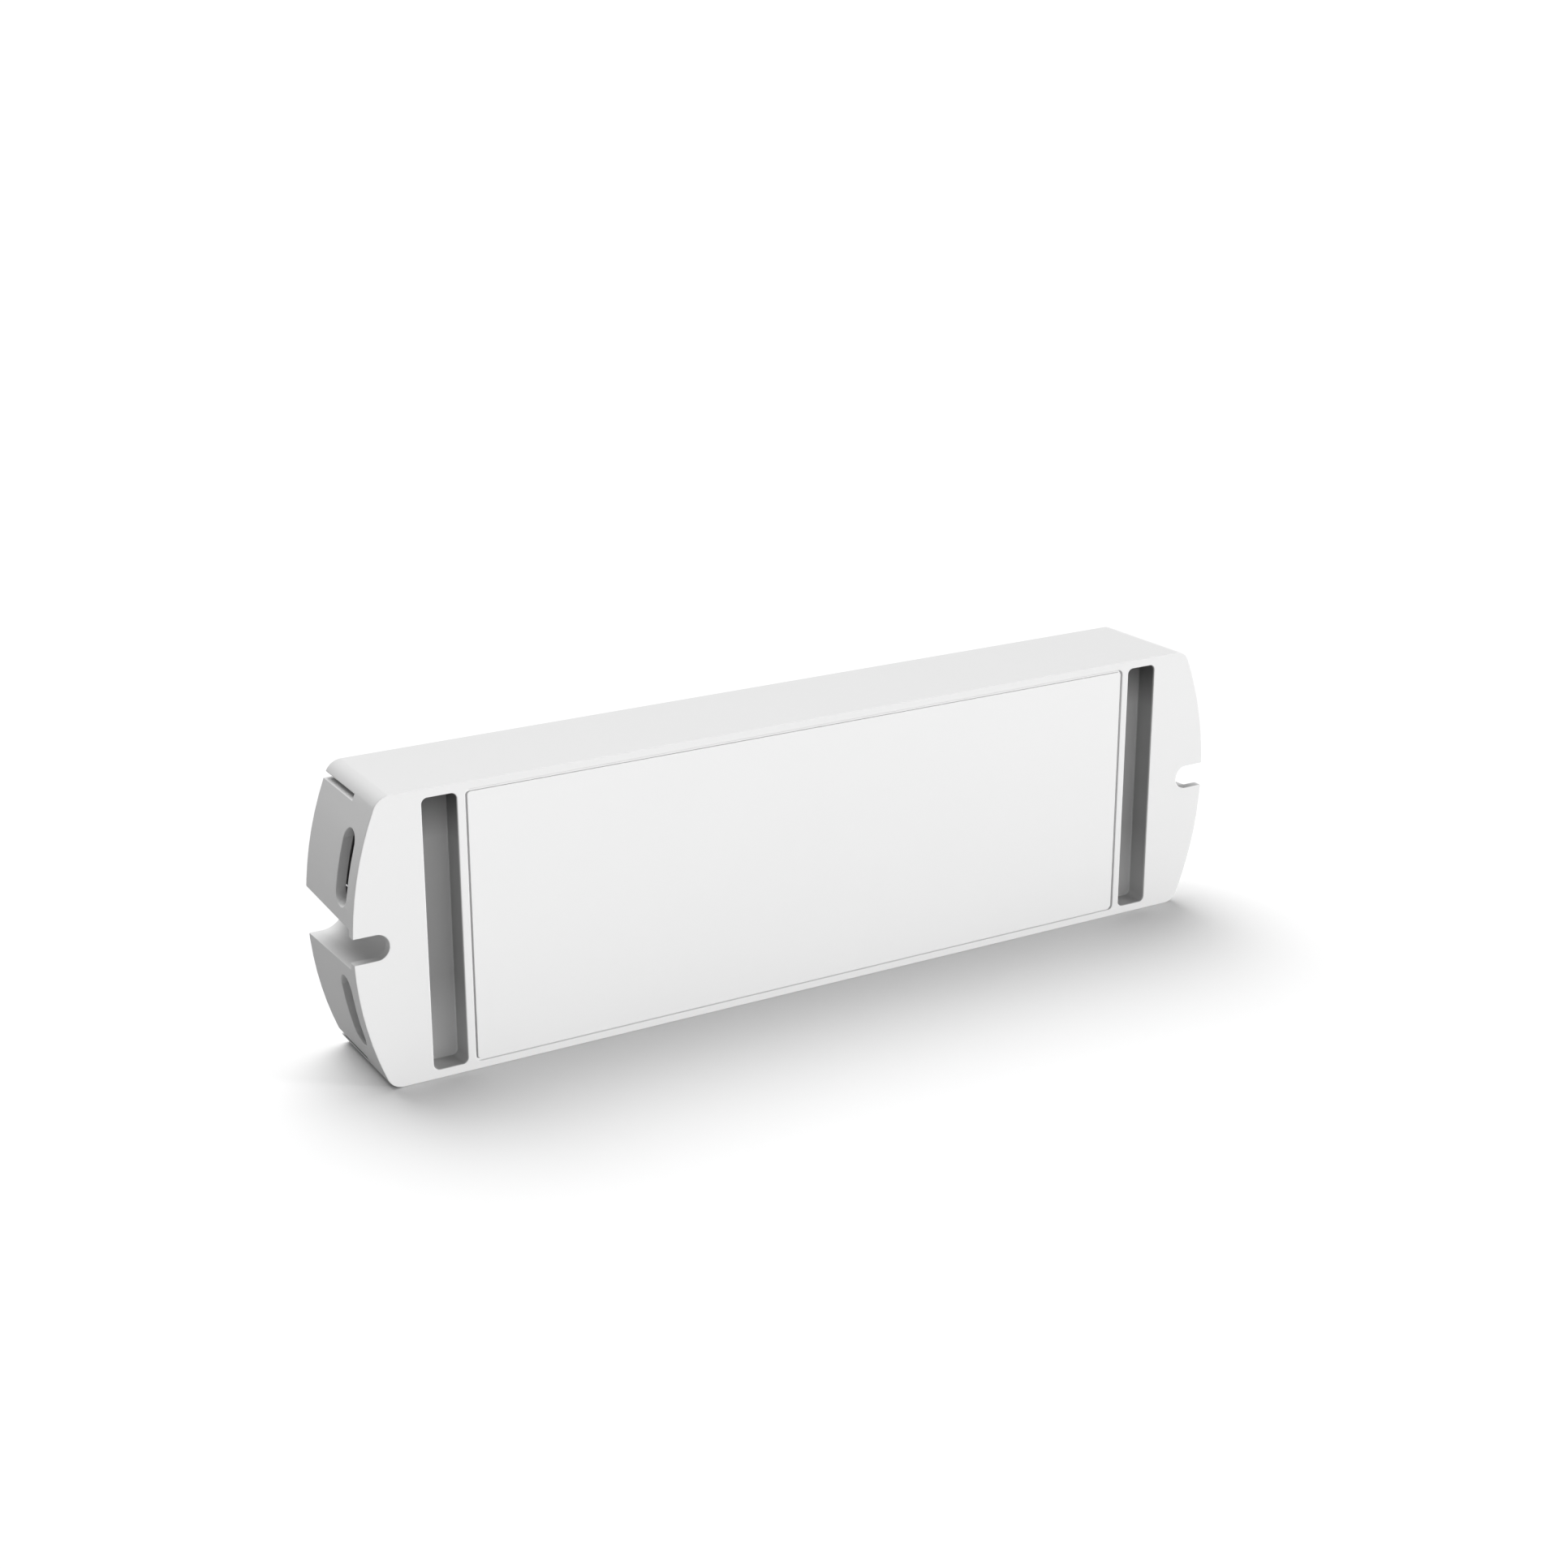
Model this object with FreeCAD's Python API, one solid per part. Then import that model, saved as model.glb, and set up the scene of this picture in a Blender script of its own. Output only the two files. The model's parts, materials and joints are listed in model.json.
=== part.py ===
import FreeCAD, Part

import math
import os

# A slim lighting decoder in a white moulded case that is screwed to a wall or a panel.
# Frame: X runs along the case, Z up, and the case stands on one long side. The flat
# mounting face looks along -Y, and the covers over the circuit board close the back, at +Y.
# The origin is at the middle of the long side that the case stands on.
# A depth is measured from the mounting face towards the back. Lengths are in millimetres.

# Case
LENGTH = 172.0          # end to end, over the middle of the curved ends
WIDTH = 50.0            # across the mounting face, upright here
DEPTH = 21.5            # mounting face to the back of the covers
END_ARC_R = 60.0        # the bow of each end, seen from the front
CORNER_R = 3.0          # where an end meets a long side
END_DRAFT = 0.5         # how far each end leans in by the back
BASE = 1.8              # floor of the case, which is also the screw flange
WALL = 1.8              # long side walls
END_WALL = 1.5          # end walls, at the back rim

# Blank label in its recess
LABEL_SIDE = 1.4        # face left between the recess and a long side
LABEL_T = 0.3
LABEL_CORNER_R = 0.6
LABEL_GAP = 0.35        # the thin line round the label
RECESS_DEPTH = 0.35

# Long pockets in the mounting face, which form the wire bars inside
POCKET_END = 12.75      # end of the case to a pocket
POCKET_LAND = 1.45      # face left between the label recess and a pocket
POCKET_W = 6.05
POCKET_SIDE = 1.55      # face left between a pocket and a long side
POCKET_DEPTH = 4.5
POCKET_R = 1.0
POCKET_SKIN = 1.45      # wall round and behind a pocket

# Screw slot at each end, and the driver notch behind it
SLOT_END = 6.175        # how far the slot reaches in from the end of the case
SLOT_W = 4.35
NOTCH_R = 3.35          # half width of the notch at the flange
NOTCH_BACK_R = 4.1      # half width of the notch at the back
NOTCH_END = 7.0         # how far the notch reaches in from the end of the case
NOTCH_WALL = 1.3

# Wire entries in the end walls, one each side of the notch
ENTRY_W = 4.7
ENTRY_DEPTH = 5.65      # depth of the middle of an entry
ENTRY_TO_NOTCH = 0.6    # plastic between an entry and the notch wall
ENTRY_TO_WALL = 4.6     # plastic between an entry and a long side wall

# Slits that free each end wall, so that the cover snaps in
SLIT_W = 1.0
SLIT_BOTTOM = 8.4       # depth where a slit ends
RIDGE_H = 0.45          # snap ridge on the inside of the end wall
RIDGE_T = 0.8
RIDGE_BELOW_RIM = 0.7
RIDGE_LENGTH = 8.0
RIDGE_FIT = 0.15

# Covers
COVER_T = 1.8
COVER_FIT = 0.2         # gap round a cover
COVER_JOINT = 9.9       # middle of the terminals to the joint between two covers
PRESS_RIB_T = 1.8
WIRE_ROOM = 2.6         # between a wire bar and the press ribs over it
LEG_W = 6.0             # snap legs of the centre cover
LEG_T = 1.2
LEG_DROP = 4.8
LEG_LIP = 0.5
LEG_LIP_T = 1.0
LEDGE_T = 1.2           # ledges on the side walls that carry the covers
LEDGE_W = 3.0
LEDGES = 3              # ledges from the middle of the case to the joint of the covers
COVER_SCREW_END = 10.0  # end of the case to a cover screw
COVER_SCREW_WALL = 2.8  # long side wall to a cover screw
COVER_POST_W = 5.4      # square posts that take the cover screws

# Screws
SCREW_R = 1.1
SCREW_BORE_FIT = 0.05
SCREW_HOLE_FIT = 0.3
SCREW_LENGTH = 7.0
HEAD_R = 2.1
HEAD_T = 1.2
BOSS_FLOOR = 1.5        # plastic left under a blind bore

# Circuit board
BOARD_T = 1.6
BOARD_END_GAP = 2.75    # board to the wire bars
PART_ROOM = 9.6         # room between the board and the covers
BOARD_SIDE_GAP = 0.3    # board to the ledges
POST_END = 21.0         # end of the board to a screw post
POST_SIDE = 4.2         # side of the board to a screw post
POST_R = 2.8
REST_END = 4.0          # end of the board to the rib it rests on
REST_SIDE = 1.5
REST_W = 6.0
REST_T = 1.5

# Screw terminals
POLE_PITCH = 5.0
TERMINAL_END = 5.6      # end of the board to the middle of a block
TERMINAL_SIDE = 0.3     # side of the board to a block
TERMINAL_LENGTH = 8.4   # along X
TERMINAL_H = 8.9
TERMINAL_END_WALL = 0.5
TERMINAL_SLOPE = 1.4    # cut off its back edges
CAGE_W = 3.8
CAGE_LENGTH = 4.6
CAGE_H = 4.8
CAGE_WALL = 0.6
CAGE_FIT = 0.1
CAGE_LIFT = 0.9         # plastic under a cage
MOUTH_W = 3.2
TERMINAL_SCREW_R = 1.55
TERMINAL_SCREW_SIDES = 12
TERMINAL_HEAD_T = 1.6
WELL_W = 3.3            # square well over each screw
DMX_POLES = 3
OUTPUT_POLES = 5
INPUT_POLES = 2

# Parts on the board, with their sizes along X, through the depth and across
PIN_T = 0.25
CAN_R = 4.0
CAN_H = 9.0
CAN_FOOT = (8.3, 1.4, 8.3)
CAN_FOOT_CUT = 1.6
CANS = 2
TRANSISTORS = 4         # one for each output channel
TRANSISTOR_PITCH = 9.4
TRANSISTOR_BODY = (6.5, 2.3, 6.1)
TAB_REACH = 1.2         # cooling tab of a transistor
TAB_SIDE = 0.6
TAB_LEG_REACH = 2.4
TAB_LEG_W = 0.8
FUSE_BODY = (7.4, 2.6, 3.1)
FUSE_CAP = 1.4
DIODE_BODY = (5.6, 2.3, 5.9)
DIODE_CAP = 0.8
SMALL_BODY = (4.9, 1.6, 3.9)
SMALL_LEGS = 4          # on each long side, as for the other chips
SMALL_PITCH = 1.27
OPTO_BODY = (4.6, 3.5, 6.5)
OPTO_PITCH = 2.54
OPTO_LEGS = 2
OPTOS = 2
CONTROLLER_BODY = (7.0, 1.4, 7.0)
CONTROLLER_PITCH = 0.8
CONTROLLER_LEGS = 8     # on each side
CHIP_LIFT = 0.1         # air under a chip
CHIP_LEG_REACH = 0.9
LEG_ROOT = 0.25         # how far a leg runs into its body
INDUCTOR_BODY = (7.2, 4.2, 7.2)
INDUCTOR_CUT = 1.2
INDUCTOR_SINK = 0.4
REGULATOR_BODY = (6.5, 1.7, 3.5)
REGULATOR_TAB_W = 3.0
REGULATOR_PITCH = 2.3
REGULATOR_REACH = 1.7
CRYSTAL_BODY = (10.8, 3.4, 4.4)
LIGHT_BODY = (3.2, 1.1, 1.6)
RESISTOR_BODY = (3.2, 0.6, 1.6)
RESISTOR_CAP = 0.5

# Their places: from an end of the board, and from the middle for the controller
CAPACITOR_END = 43.0
CAPACITOR_PITCH = 9.5
TRANSISTOR_END = 30.0
FUSE_END = 21.0
DIODE_END = 32.0
DRIVER_END = 44.0
TRANSCEIVER_END = 27.0
OPTO_END = 29.0
OPTO_STEP = 8.0
CRYSTAL_END = 37.0
BUS_RESISTOR_END = 20.0
BUS_RESISTOR_PITCH = 4.0
INDUCTOR_END = 64.0
REGULATOR_END = 75.5
LIGHT_END = 63.0
CONTROLLER_X = -12.0
LOWER_ROW = 6.7         # lower side of the board to the middle of its lower row
TRANSISTOR_ROW = 12.7   # upper side of the board to the near side of the transistors
OPTO_ROW = 11.0
LIGHT_ROW = 3.7
CONTROLLER_OFFSET = 2.0
DRIVER_OFFSET = 0.5
TRANSCEIVER_OFFSET = -0.5
FUSE_OFFSET = -8.0
CRYSTAL_OFFSET = -9.0
GATE_RESISTOR_OFFSET = -5.5

# Values that follow from the ones above
MID = WIDTH / 2
HALF = LENGTH / 2
BACK = DEPTH
SEAT = DEPTH - COVER_T
BOARD_BACK = SEAT - PART_ROOM
BOARD_DEPTH = BOARD_BACK - BOARD_T
INNER_HALF = HALF - END_DRAFT - END_WALL
INNER_OFFSET = WIDTH / 2 - WALL
INNER_ARC_R = END_ARC_R - END_WALL
INNER_CORNER_R = CORNER_R - END_WALL / 2
POCKET_X1 = HALF - POCKET_END
POCKET_X0 = POCKET_X1 - POCKET_W
POCKET_OFFSET = WIDTH / 2 - POCKET_SIDE
BAR_BACK = POCKET_DEPTH + POCKET_SKIN
RECESS_HALF = POCKET_X0 - POCKET_LAND
RECESS_OFFSET = WIDTH / 2 - LABEL_SIDE
NOTCH_X = HALF - NOTCH_END
ENTRY_LOW = NOTCH_BACK_R + NOTCH_WALL + ENTRY_TO_NOTCH
ENTRY_HIGH = INNER_OFFSET - ENTRY_TO_WALL
COVER_SCREW_X = HALF - COVER_SCREW_END
COVER_SCREW_OFFSET = INNER_OFFSET - COVER_SCREW_WALL
BOARD_HALF = POCKET_X0 - POCKET_SKIN - BOARD_END_GAP
BOARD_OFFSET = INNER_OFFSET - LEDGE_T - BOARD_SIDE_GAP
POST_X = BOARD_HALF - POST_END
POST_OFFSET = BOARD_OFFSET - POST_SIDE
TERMINAL_X = BOARD_HALF - TERMINAL_END
COVER_JOINT_X = TERMINAL_X - COVER_JOINT
LEG_X = COVER_JOINT_X / 2
BEYOND = HALF + 4.0     # past the end of the case
OVER = 1.0              # how far a cutting shape runs past the face it cuts
SIDES = (-1, 1)


def at(depth):
    """Y of a depth behind the mounting face."""
    return depth - DEPTH / 2


def point(x, depth, offset):
    """Point at a depth, with its height given as an offset from mid width."""
    return FreeCAD.Vector(x, at(depth), MID + offset)


def block(x0, x1, depth0, depth1, offset0, offset1):
    """Square block between two corners."""
    return Part.makeBox(x1 - x0, depth1 - depth0, offset1 - offset0, point(x0, depth0, offset0))


def rod(radius, x, offset, depth0, depth1):
    """Round rod through the depth of the case."""
    return Part.makeCylinder(radius, depth1 - depth0, point(x, depth0, offset), FreeCAD.Vector(0, 1, 0))


def raise_face(wire, thickness):
    """Solid that grows from a flat outline towards the back."""
    return Part.Face(wire).extrude(FreeCAD.Vector(0, thickness, 0))


def arc(start, middle, end):
    return Part.Arc(start, middle, end).toShape()


def line(start, end):
    return Part.LineSegment(start, end).toShape()


def join(shapes):
    """One solid from shapes that touch or overlap."""
    first, rest = shapes[0], shapes[1:]
    return first.fuse(rest).removeSplitter() if rest else first


def mirrored(shape):
    """The same shape at the other end of the case."""
    return shape.mirror(FreeCAD.Vector(0, 0, 0), FreeCAD.Vector(1, 0, 0))


def both_ends(shapes):
    return shapes + [mirrored(shape) for shape in shapes]


def case_outline(half_length, half_width, end_r, corner_r, depth):
    """Outline with straight long sides, bowed ends and rounded corners."""
    centre = half_length - end_r
    corner_offset = half_width - corner_r
    corner_x = centre + math.sqrt((end_r - corner_r) ** 2 - corner_offset**2)
    lean = math.atan2(corner_offset, corner_x - centre)
    edges = []
    for side in SIDES:
        ends = []
        for up in (-side, side):
            on_side = point(side * corner_x, depth, up * half_width)
            half = (math.pi / 2 + lean) / 2
            on_corner = point(
                side * (corner_x + corner_r * math.cos(half)),
                depth,
                up * (corner_offset + corner_r * math.sin(half)),
            )
            on_end = point(
                side * (centre + end_r * math.cos(lean)), depth, up * end_r * math.sin(lean)
            )
            ends.append((on_side, on_corner, on_end))
        tip = point(side * half_length, depth, 0)
        opposite = point(-side * corner_x, depth, side * half_width)
        edges.append(arc(*ends[0]))
        edges.append(arc(ends[0][2], tip, ends[1][2]))
        edges.append(arc(*reversed(ends[1])))
        edges.append(line(ends[1][0], opposite))
    return Part.Wire(Part.__sortEdges__(edges))


def rounded_outline(x0, x1, offset0, offset1, radius, depth):
    """Rectangle with rounded corners."""
    reach = radius * (1 - math.sqrt(0.5))
    corners = []
    for x, offset, step_x, step_o in (
        (x0, offset0, 1, 1),
        (x1, offset0, -1, 1),
        (x1, offset1, -1, -1),
        (x0, offset1, 1, -1),
    ):
        on_x = point(x + step_x * radius, depth, offset)
        on_o = point(x, depth, offset + step_o * radius)
        middle = point(x + step_x * reach, depth, offset + step_o * reach)
        corners.append((on_o, middle, on_x) if step_x == step_o else (on_x, middle, on_o))
    edges = []
    for index, corner in enumerate(corners):
        edges.append(arc(*corner))
        edges.append(line(corner[2], corners[(index + 1) % 4][0]))
    return Part.Wire(edges)


def rounded_block(x0, x1, depth0, depth1, offset0, offset1, radius):
    return raise_face(rounded_outline(x0, x1, offset0, offset1, radius, depth0), depth1 - depth0)


def u_outline(inner_x, radius, depth):
    """Slot with a round inner end that runs out past the right end of the case."""
    centre = inner_x + radius
    low, high = point(centre, depth, -radius), point(centre, depth, radius)
    out_low, out_high = point(BEYOND, depth, -radius), point(BEYOND, depth, radius)
    bend = arc(low, point(inner_x, depth, 0), high)
    return Part.Wire([bend, line(high, out_high), line(out_high, out_low), line(out_low, low)])


def notch(grow, depth0, depth1):
    """The driver notch of the right end, which widens towards the back, grown all round."""
    taper = (NOTCH_BACK_R - NOTCH_R) / (DEPTH - BASE)
    wires = [
        u_outline(NOTCH_X - grow, NOTCH_R + taper * (depth - BASE) + grow, depth)
        for depth in (depth0, depth1)
    ]
    return Part.makeLoft(wires, True, True)


def entry():
    """Wire entry of the right end, above the notch, as a long hole along X."""
    radius = ENTRY_W / 2
    start = NOTCH_X - NOTCH_WALL
    low, high = ENTRY_LOW + radius, ENTRY_HIGH - radius
    parts = [block(start, BEYOND, ENTRY_DEPTH - radius, ENTRY_DEPTH + radius, low, high)]
    for middle in (low, high):
        foot = point(start, ENTRY_DEPTH, middle)
        parts.append(Part.makeCylinder(radius, BEYOND - start, foot, FreeCAD.Vector(1, 0, 0)))
    return join(parts)


def flipped(shape):
    """The same shape on the other side of mid width."""
    return shape.mirror(FreeCAD.Vector(0, 0, MID), FreeCAD.Vector(0, 0, 1))


def inner_space(shrink, depth0, depth1):
    """The room inside the walls, made smaller all round by a gap."""
    wire = case_outline(
        INNER_HALF - shrink,
        INNER_OFFSET - shrink,
        INNER_ARC_R - shrink,
        INNER_CORNER_R - shrink,
        depth0,
    )
    return raise_face(wire, depth1 - depth0)


def snap_ridge(height, grow):
    """Two short ridges on the inside of the right end wall, either side of the notch."""
    low = BACK - RIDGE_BELOW_RIM - RIDGE_T - grow
    high = BACK - RIDGE_BELOW_RIM + grow
    ring = inner_space(-END_WALL / 2, low, high).cut(inner_space(height, low, high))
    ridges = []
    half = RIDGE_LENGTH / 2 + grow
    for side in SIDES:
        middle = side * (ENTRY_LOW + ENTRY_HIGH) / 2
        ridges.append(ring.common(block(COVER_SCREW_X, BEYOND, low, high, middle - half, middle + half)))
    return ridges


def side_ledges():
    """Upright ledges on both side walls that carry the covers."""
    places = [(COVER_JOINT_X * index / LEDGES, LEDGE_W) for index in range(LEDGES)]
    places.append((COVER_JOINT_X, 2 * LEDGE_W))
    ledges = []
    for x, width in places:
        for side in SIDES:
            inside, wall = side * (INNER_OFFSET - LEDGE_T), side * (INNER_OFFSET + WALL / 2)
            low, high = min(inside, wall), max(inside, wall)
            ledges.append(block(x - width / 2, x + width / 2, BASE / 2, SEAT, low, high))
            if x:
                ledges.append(mirrored(ledges[-1]))
    return ledges


def case_body():
    """The whole outer form, with ends that lean in towards the back."""
    lean = math.degrees(math.atan2(END_DRAFT, DEPTH))
    spare = OVER + HALF * END_DRAFT / DEPTH
    outline = case_outline(HALF, WIDTH / 2, END_ARC_R, CORNER_R, -spare)
    leaning = raise_face(outline, DEPTH + 2 * spare)
    leaning.rotate(point(HALF, 0, 0), FreeCAD.Vector(0, 0, 1), lean)
    right = leaning.common(block(0, BEYOND, 0, BACK, -WIDTH, WIDTH))
    return join([right, mirrored(right)])


def board_rests():
    """Ribs under the board: one near each corner."""
    x = BOARD_HALF - REST_END
    top = BOARD_OFFSET - REST_SIDE
    rib = block(x - REST_T / 2, x + REST_T / 2, BASE / 2, BOARD_DEPTH, top - REST_W, top)
    return both_ends([rib, flipped(rib)])


def post_places():
    """Places of the two board screws, at opposite corners of the board."""
    return [(side * POST_X, side * POST_OFFSET) for side in SIDES]


def cover_post(side):
    """Square post in the right end, against a long side wall, that takes a cover screw."""
    middle = side * COVER_SCREW_OFFSET
    inside, wall = middle - side * COVER_POST_W / 2, side * (INNER_OFFSET + WALL / 2)
    half = COVER_POST_W / 2
    return block(COVER_SCREW_X - half, COVER_SCREW_X + half, BASE / 2, SEAT,
                 min(inside, wall), max(inside, wall))


def housing_tub():
    """The moulded case: floor, walls, wire bars, notch walls, posts and ledges in one piece."""
    outer = case_body()
    shell = outer.cut(inner_space(0, BASE, BACK + OVER))

    bar = block(POCKET_X0 - POCKET_SKIN, POCKET_X1 + POCKET_SKIN, BASE / 2, BAR_BACK,
                -INNER_OFFSET - WALL / 2, INNER_OFFSET + WALL / 2)
    notch_wall = notch(NOTCH_WALL, BASE / 2, BACK + OVER).common(outer)
    added = both_ends([bar, notch_wall, cover_post(-1), cover_post(1)] + snap_ridge(RIDGE_H, 0))
    for x, offset in post_places():
        added.append(rod(POST_R, x, offset, BASE / 2, BOARD_DEPTH))
    solid = join([shell] + added + board_rests() + side_ledges())

    slot = raise_face(u_outline(HALF - SLOT_END, SLOT_W / 2, -OVER), BASE + 2 * OVER)
    slit = block(COVER_SCREW_X, BEYOND, SLIT_BOTTOM, BACK + OVER, INNER_OFFSET - SLIT_W, INNER_OFFSET)
    pocket = rounded_block(POCKET_X0, POCKET_X1, -OVER, POCKET_DEPTH, -POCKET_OFFSET, POCKET_OFFSET, POCKET_R)
    removed = [slot, notch(0, BASE, BACK + OVER), pocket, entry(), flipped(entry()), slit, flipped(slit)]
    bore = SCREW_R + SCREW_BORE_FIT
    for side in SIDES:
        offset = side * COVER_SCREW_OFFSET
        removed.append(rod(bore, COVER_SCREW_X, offset, BACK - SCREW_LENGTH - OVER, SEAT + OVER))
    removed = both_ends(removed)
    for x, offset in post_places():
        removed.append(rod(bore, x, offset, BASE + BOSS_FLOOR, BOARD_DEPTH + OVER))
    removed.append(rounded_block(-RECESS_HALF, RECESS_HALF, -OVER, RECESS_DEPTH,
                                 -RECESS_OFFSET, RECESS_OFFSET, LABEL_CORNER_R + LABEL_GAP))
    lip_depth = SEAT - LEG_DROP
    for x in (-LEG_X, LEG_X):
        catch = block(x - LEG_W / 2 - COVER_FIT, x + LEG_W / 2 + COVER_FIT, lip_depth - COVER_FIT,
                      lip_depth + LEG_LIP_T + COVER_FIT, INNER_OFFSET - OVER,
                      INNER_OFFSET + LEG_LIP)
        removed += [catch, flipped(catch)]
    return solid.cut(removed).removeSplitter()


def face_label():
    """Blank label, stuck to the floor of its recess."""
    half_x, half_o = RECESS_HALF - LABEL_GAP, RECESS_OFFSET - LABEL_GAP
    return rounded_block(-half_x, half_x, RECESS_DEPTH - LABEL_T, RECESS_DEPTH,
                         -half_o, half_o, LABEL_CORNER_R)


def centre_cover():
    """Flat cover between the two wiring covers, held by four snap legs."""
    half = COVER_JOINT_X - COVER_FIT / 2
    outside = INNER_OFFSET - COVER_FIT
    plate = block(-half, half, SEAT, BACK, -outside, outside)
    pieces = [plate]
    lip_depth = SEAT - LEG_DROP
    for x in (-LEG_X, LEG_X):
        leg = block(x - LEG_W / 2, x + LEG_W / 2, lip_depth, SEAT, outside - LEG_T, outside)
        lip = block(x - LEG_W / 2, x + LEG_W / 2, lip_depth, lip_depth + LEG_LIP_T,
                    outside, outside + LEG_LIP)
        pieces += [leg, lip, flipped(leg), flipped(lip)]
    return join(pieces)


def wiring_cover():
    """Cover over the terminals of the right end, with ribs that press the wires down."""
    start = COVER_JOINT_X + COVER_FIT / 2
    plate = inner_space(COVER_FIT, SEAT, BACK)
    plate = plate.common(block(start, BEYOND, SEAT, BACK, -INNER_OFFSET, INNER_OFFSET))
    middle = (POCKET_X0 + POCKET_X1) / 2
    pieces = [plate]
    rib = block(middle - PRESS_RIB_T / 2, middle + PRESS_RIB_T / 2, BAR_BACK + WIRE_ROOM, SEAT,
                ENTRY_LOW, ENTRY_HIGH)
    pieces += [rib, flipped(rib)]
    cover = join(pieces)
    removed = [notch(NOTCH_WALL + COVER_FIT, SEAT - OVER, BACK + OVER)]
    removed += snap_ridge(RIDGE_H + RIDGE_FIT, RIDGE_FIT)
    hole = SCREW_R + SCREW_HOLE_FIT
    for side in SIDES:
        offset = side * COVER_SCREW_OFFSET
        removed.append(rod(hole, COVER_SCREW_X, offset, SEAT - OVER, BACK + OVER))
        removed.append(rod(HEAD_R + COVER_FIT, COVER_SCREW_X, offset, BACK - HEAD_T, BACK + OVER))
    return cover.cut(removed)


def screw(x, offset, seat, length):
    """Flat head screw with a plain shank, whose head sits on a face at a depth."""
    return join([rod(HEAD_R, x, offset, seat, seat + HEAD_T), rod(SCREW_R, x, offset, seat - length, seat)])


def cover_screws():
    """Four screws of the wiring covers, with their heads level with the back."""
    seat = BACK - HEAD_T
    return [
        screw(end * COVER_SCREW_X, side * COVER_SCREW_OFFSET, seat, SCREW_LENGTH - HEAD_T)
        for end in SIDES
        for side in SIDES
    ]


def board_screws():
    length = BOARD_BACK - BASE - BOSS_FLOOR - SCREW_R
    return [screw(x, offset, BOARD_BACK, length) for x, offset in post_places()]


def circuit_board():
    """Board with a hole over each screw post."""
    board = block(-BOARD_HALF, BOARD_HALF, BOARD_DEPTH, BOARD_BACK, -BOARD_OFFSET, BOARD_OFFSET)
    hole = SCREW_R + SCREW_HOLE_FIT
    return board.cut([rod(hole, x, offset, BOARD_DEPTH - OVER, BOARD_BACK + OVER)
                      for x, offset in post_places()])


def pole_offsets(poles, middle):
    return [middle + (index - (poles - 1) / 2) * POLE_PITCH for index in range(poles)]


def terminal_body(end, poles, middle):
    """Terminal block at one end of the board, with its wire mouths facing that end."""
    half_x = TERMINAL_LENGTH / 2
    half_o = poles * POLE_PITCH / 2 + TERMINAL_END_WALL
    back = BOARD_BACK + TERMINAL_H
    cage_floor = BOARD_BACK + CAGE_LIFT
    cage_back = cage_floor + CAGE_H
    corners = [
        (-half_x, BOARD_BACK),
        (half_x, BOARD_BACK),
        (half_x, cage_back),
        (half_x - TERMINAL_SLOPE, back),
        (TERMINAL_SLOPE / 2 - half_x, back),
        (-half_x, back - TERMINAL_SLOPE),
    ]
    points = [point(TERMINAL_X + x, depth, middle - half_o) for x, depth in corners]
    body = Part.Face(Part.makePolygon(points + points[:1])).extrude(FreeCAD.Vector(0, 0, 2 * half_o))
    room_x, room_o = CAGE_LENGTH / 2 + CAGE_FIT, CAGE_W / 2 + CAGE_FIT
    removed = []
    for offset in pole_offsets(poles, middle):
        removed.append(block(TERMINAL_X - room_x, TERMINAL_X + room_x, cage_floor, cage_back + CAGE_FIT,
                             offset - room_o, offset + room_o))
        removed.append(block(TERMINAL_X, TERMINAL_X + half_x + OVER, cage_floor + CAGE_WALL,
                             cage_floor + CAGE_WALL + MOUTH_W, offset - MOUTH_W / 2, offset + MOUTH_W / 2))
        removed.append(block(TERMINAL_X - WELL_W / 2, TERMINAL_X + WELL_W / 2, cage_back, back + OVER,
                             offset - WELL_W / 2, offset + WELL_W / 2))
    body = body.cut(removed)
    return body if end > 0 else mirrored(body)


def wire_cage(end, offset):
    """Metal clamp of one pole, with a square mouth for the wire."""
    floor = BOARD_BACK + CAGE_LIFT
    half_x, half_o = CAGE_LENGTH / 2, CAGE_W / 2
    cage = block(TERMINAL_X - half_x, TERMINAL_X + half_x, floor, floor + CAGE_H,
                 offset - half_o, offset + half_o)
    mouth = block(TERMINAL_X - half_x - OVER, TERMINAL_X + half_x + OVER, floor + CAGE_WALL,
                  floor + CAGE_H - 2 * CAGE_WALL, offset - half_o + CAGE_WALL, offset + half_o - CAGE_WALL)
    cage = cage.cut(mouth)
    return cage if end > 0 else mirrored(cage)


def terminal_screw(end, offset):
    """Head of the screw of one pole, as a prism with few sides, which sits on its cage."""
    seat = BOARD_BACK + CAGE_LIFT + CAGE_H
    turn = 2 * math.pi / TERMINAL_SCREW_SIDES
    corners = []
    for index in range(TERMINAL_SCREW_SIDES + 1):
        angle = (index + 0.5) * turn
        corners.append(point(TERMINAL_X + TERMINAL_SCREW_R * math.cos(angle), seat,
                             offset + TERMINAL_SCREW_R * math.sin(angle)))
    body = raise_face(Part.makePolygon(corners), TERMINAL_HEAD_T)
    return body if end > 0 else mirrored(body)


def terminals():
    """Name, end of the case, number of poles and place of each terminal block."""
    blocks = (
        ("dmx_input_terminal", -1, DMX_POLES, 1),
        ("dmx_output_terminal", -1, DMX_POLES, -1),
        ("led_output_terminal", 1, OUTPUT_POLES, 1),
        ("power_input_terminal", 1, INPUT_POLES, -1),
    )
    for name, end, poles, side in blocks:
        reach = BOARD_OFFSET - TERMINAL_SIDE - poles * POLE_PITCH / 2 - TERMINAL_END_WALL
        yield name, end, poles, side * reach


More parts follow.
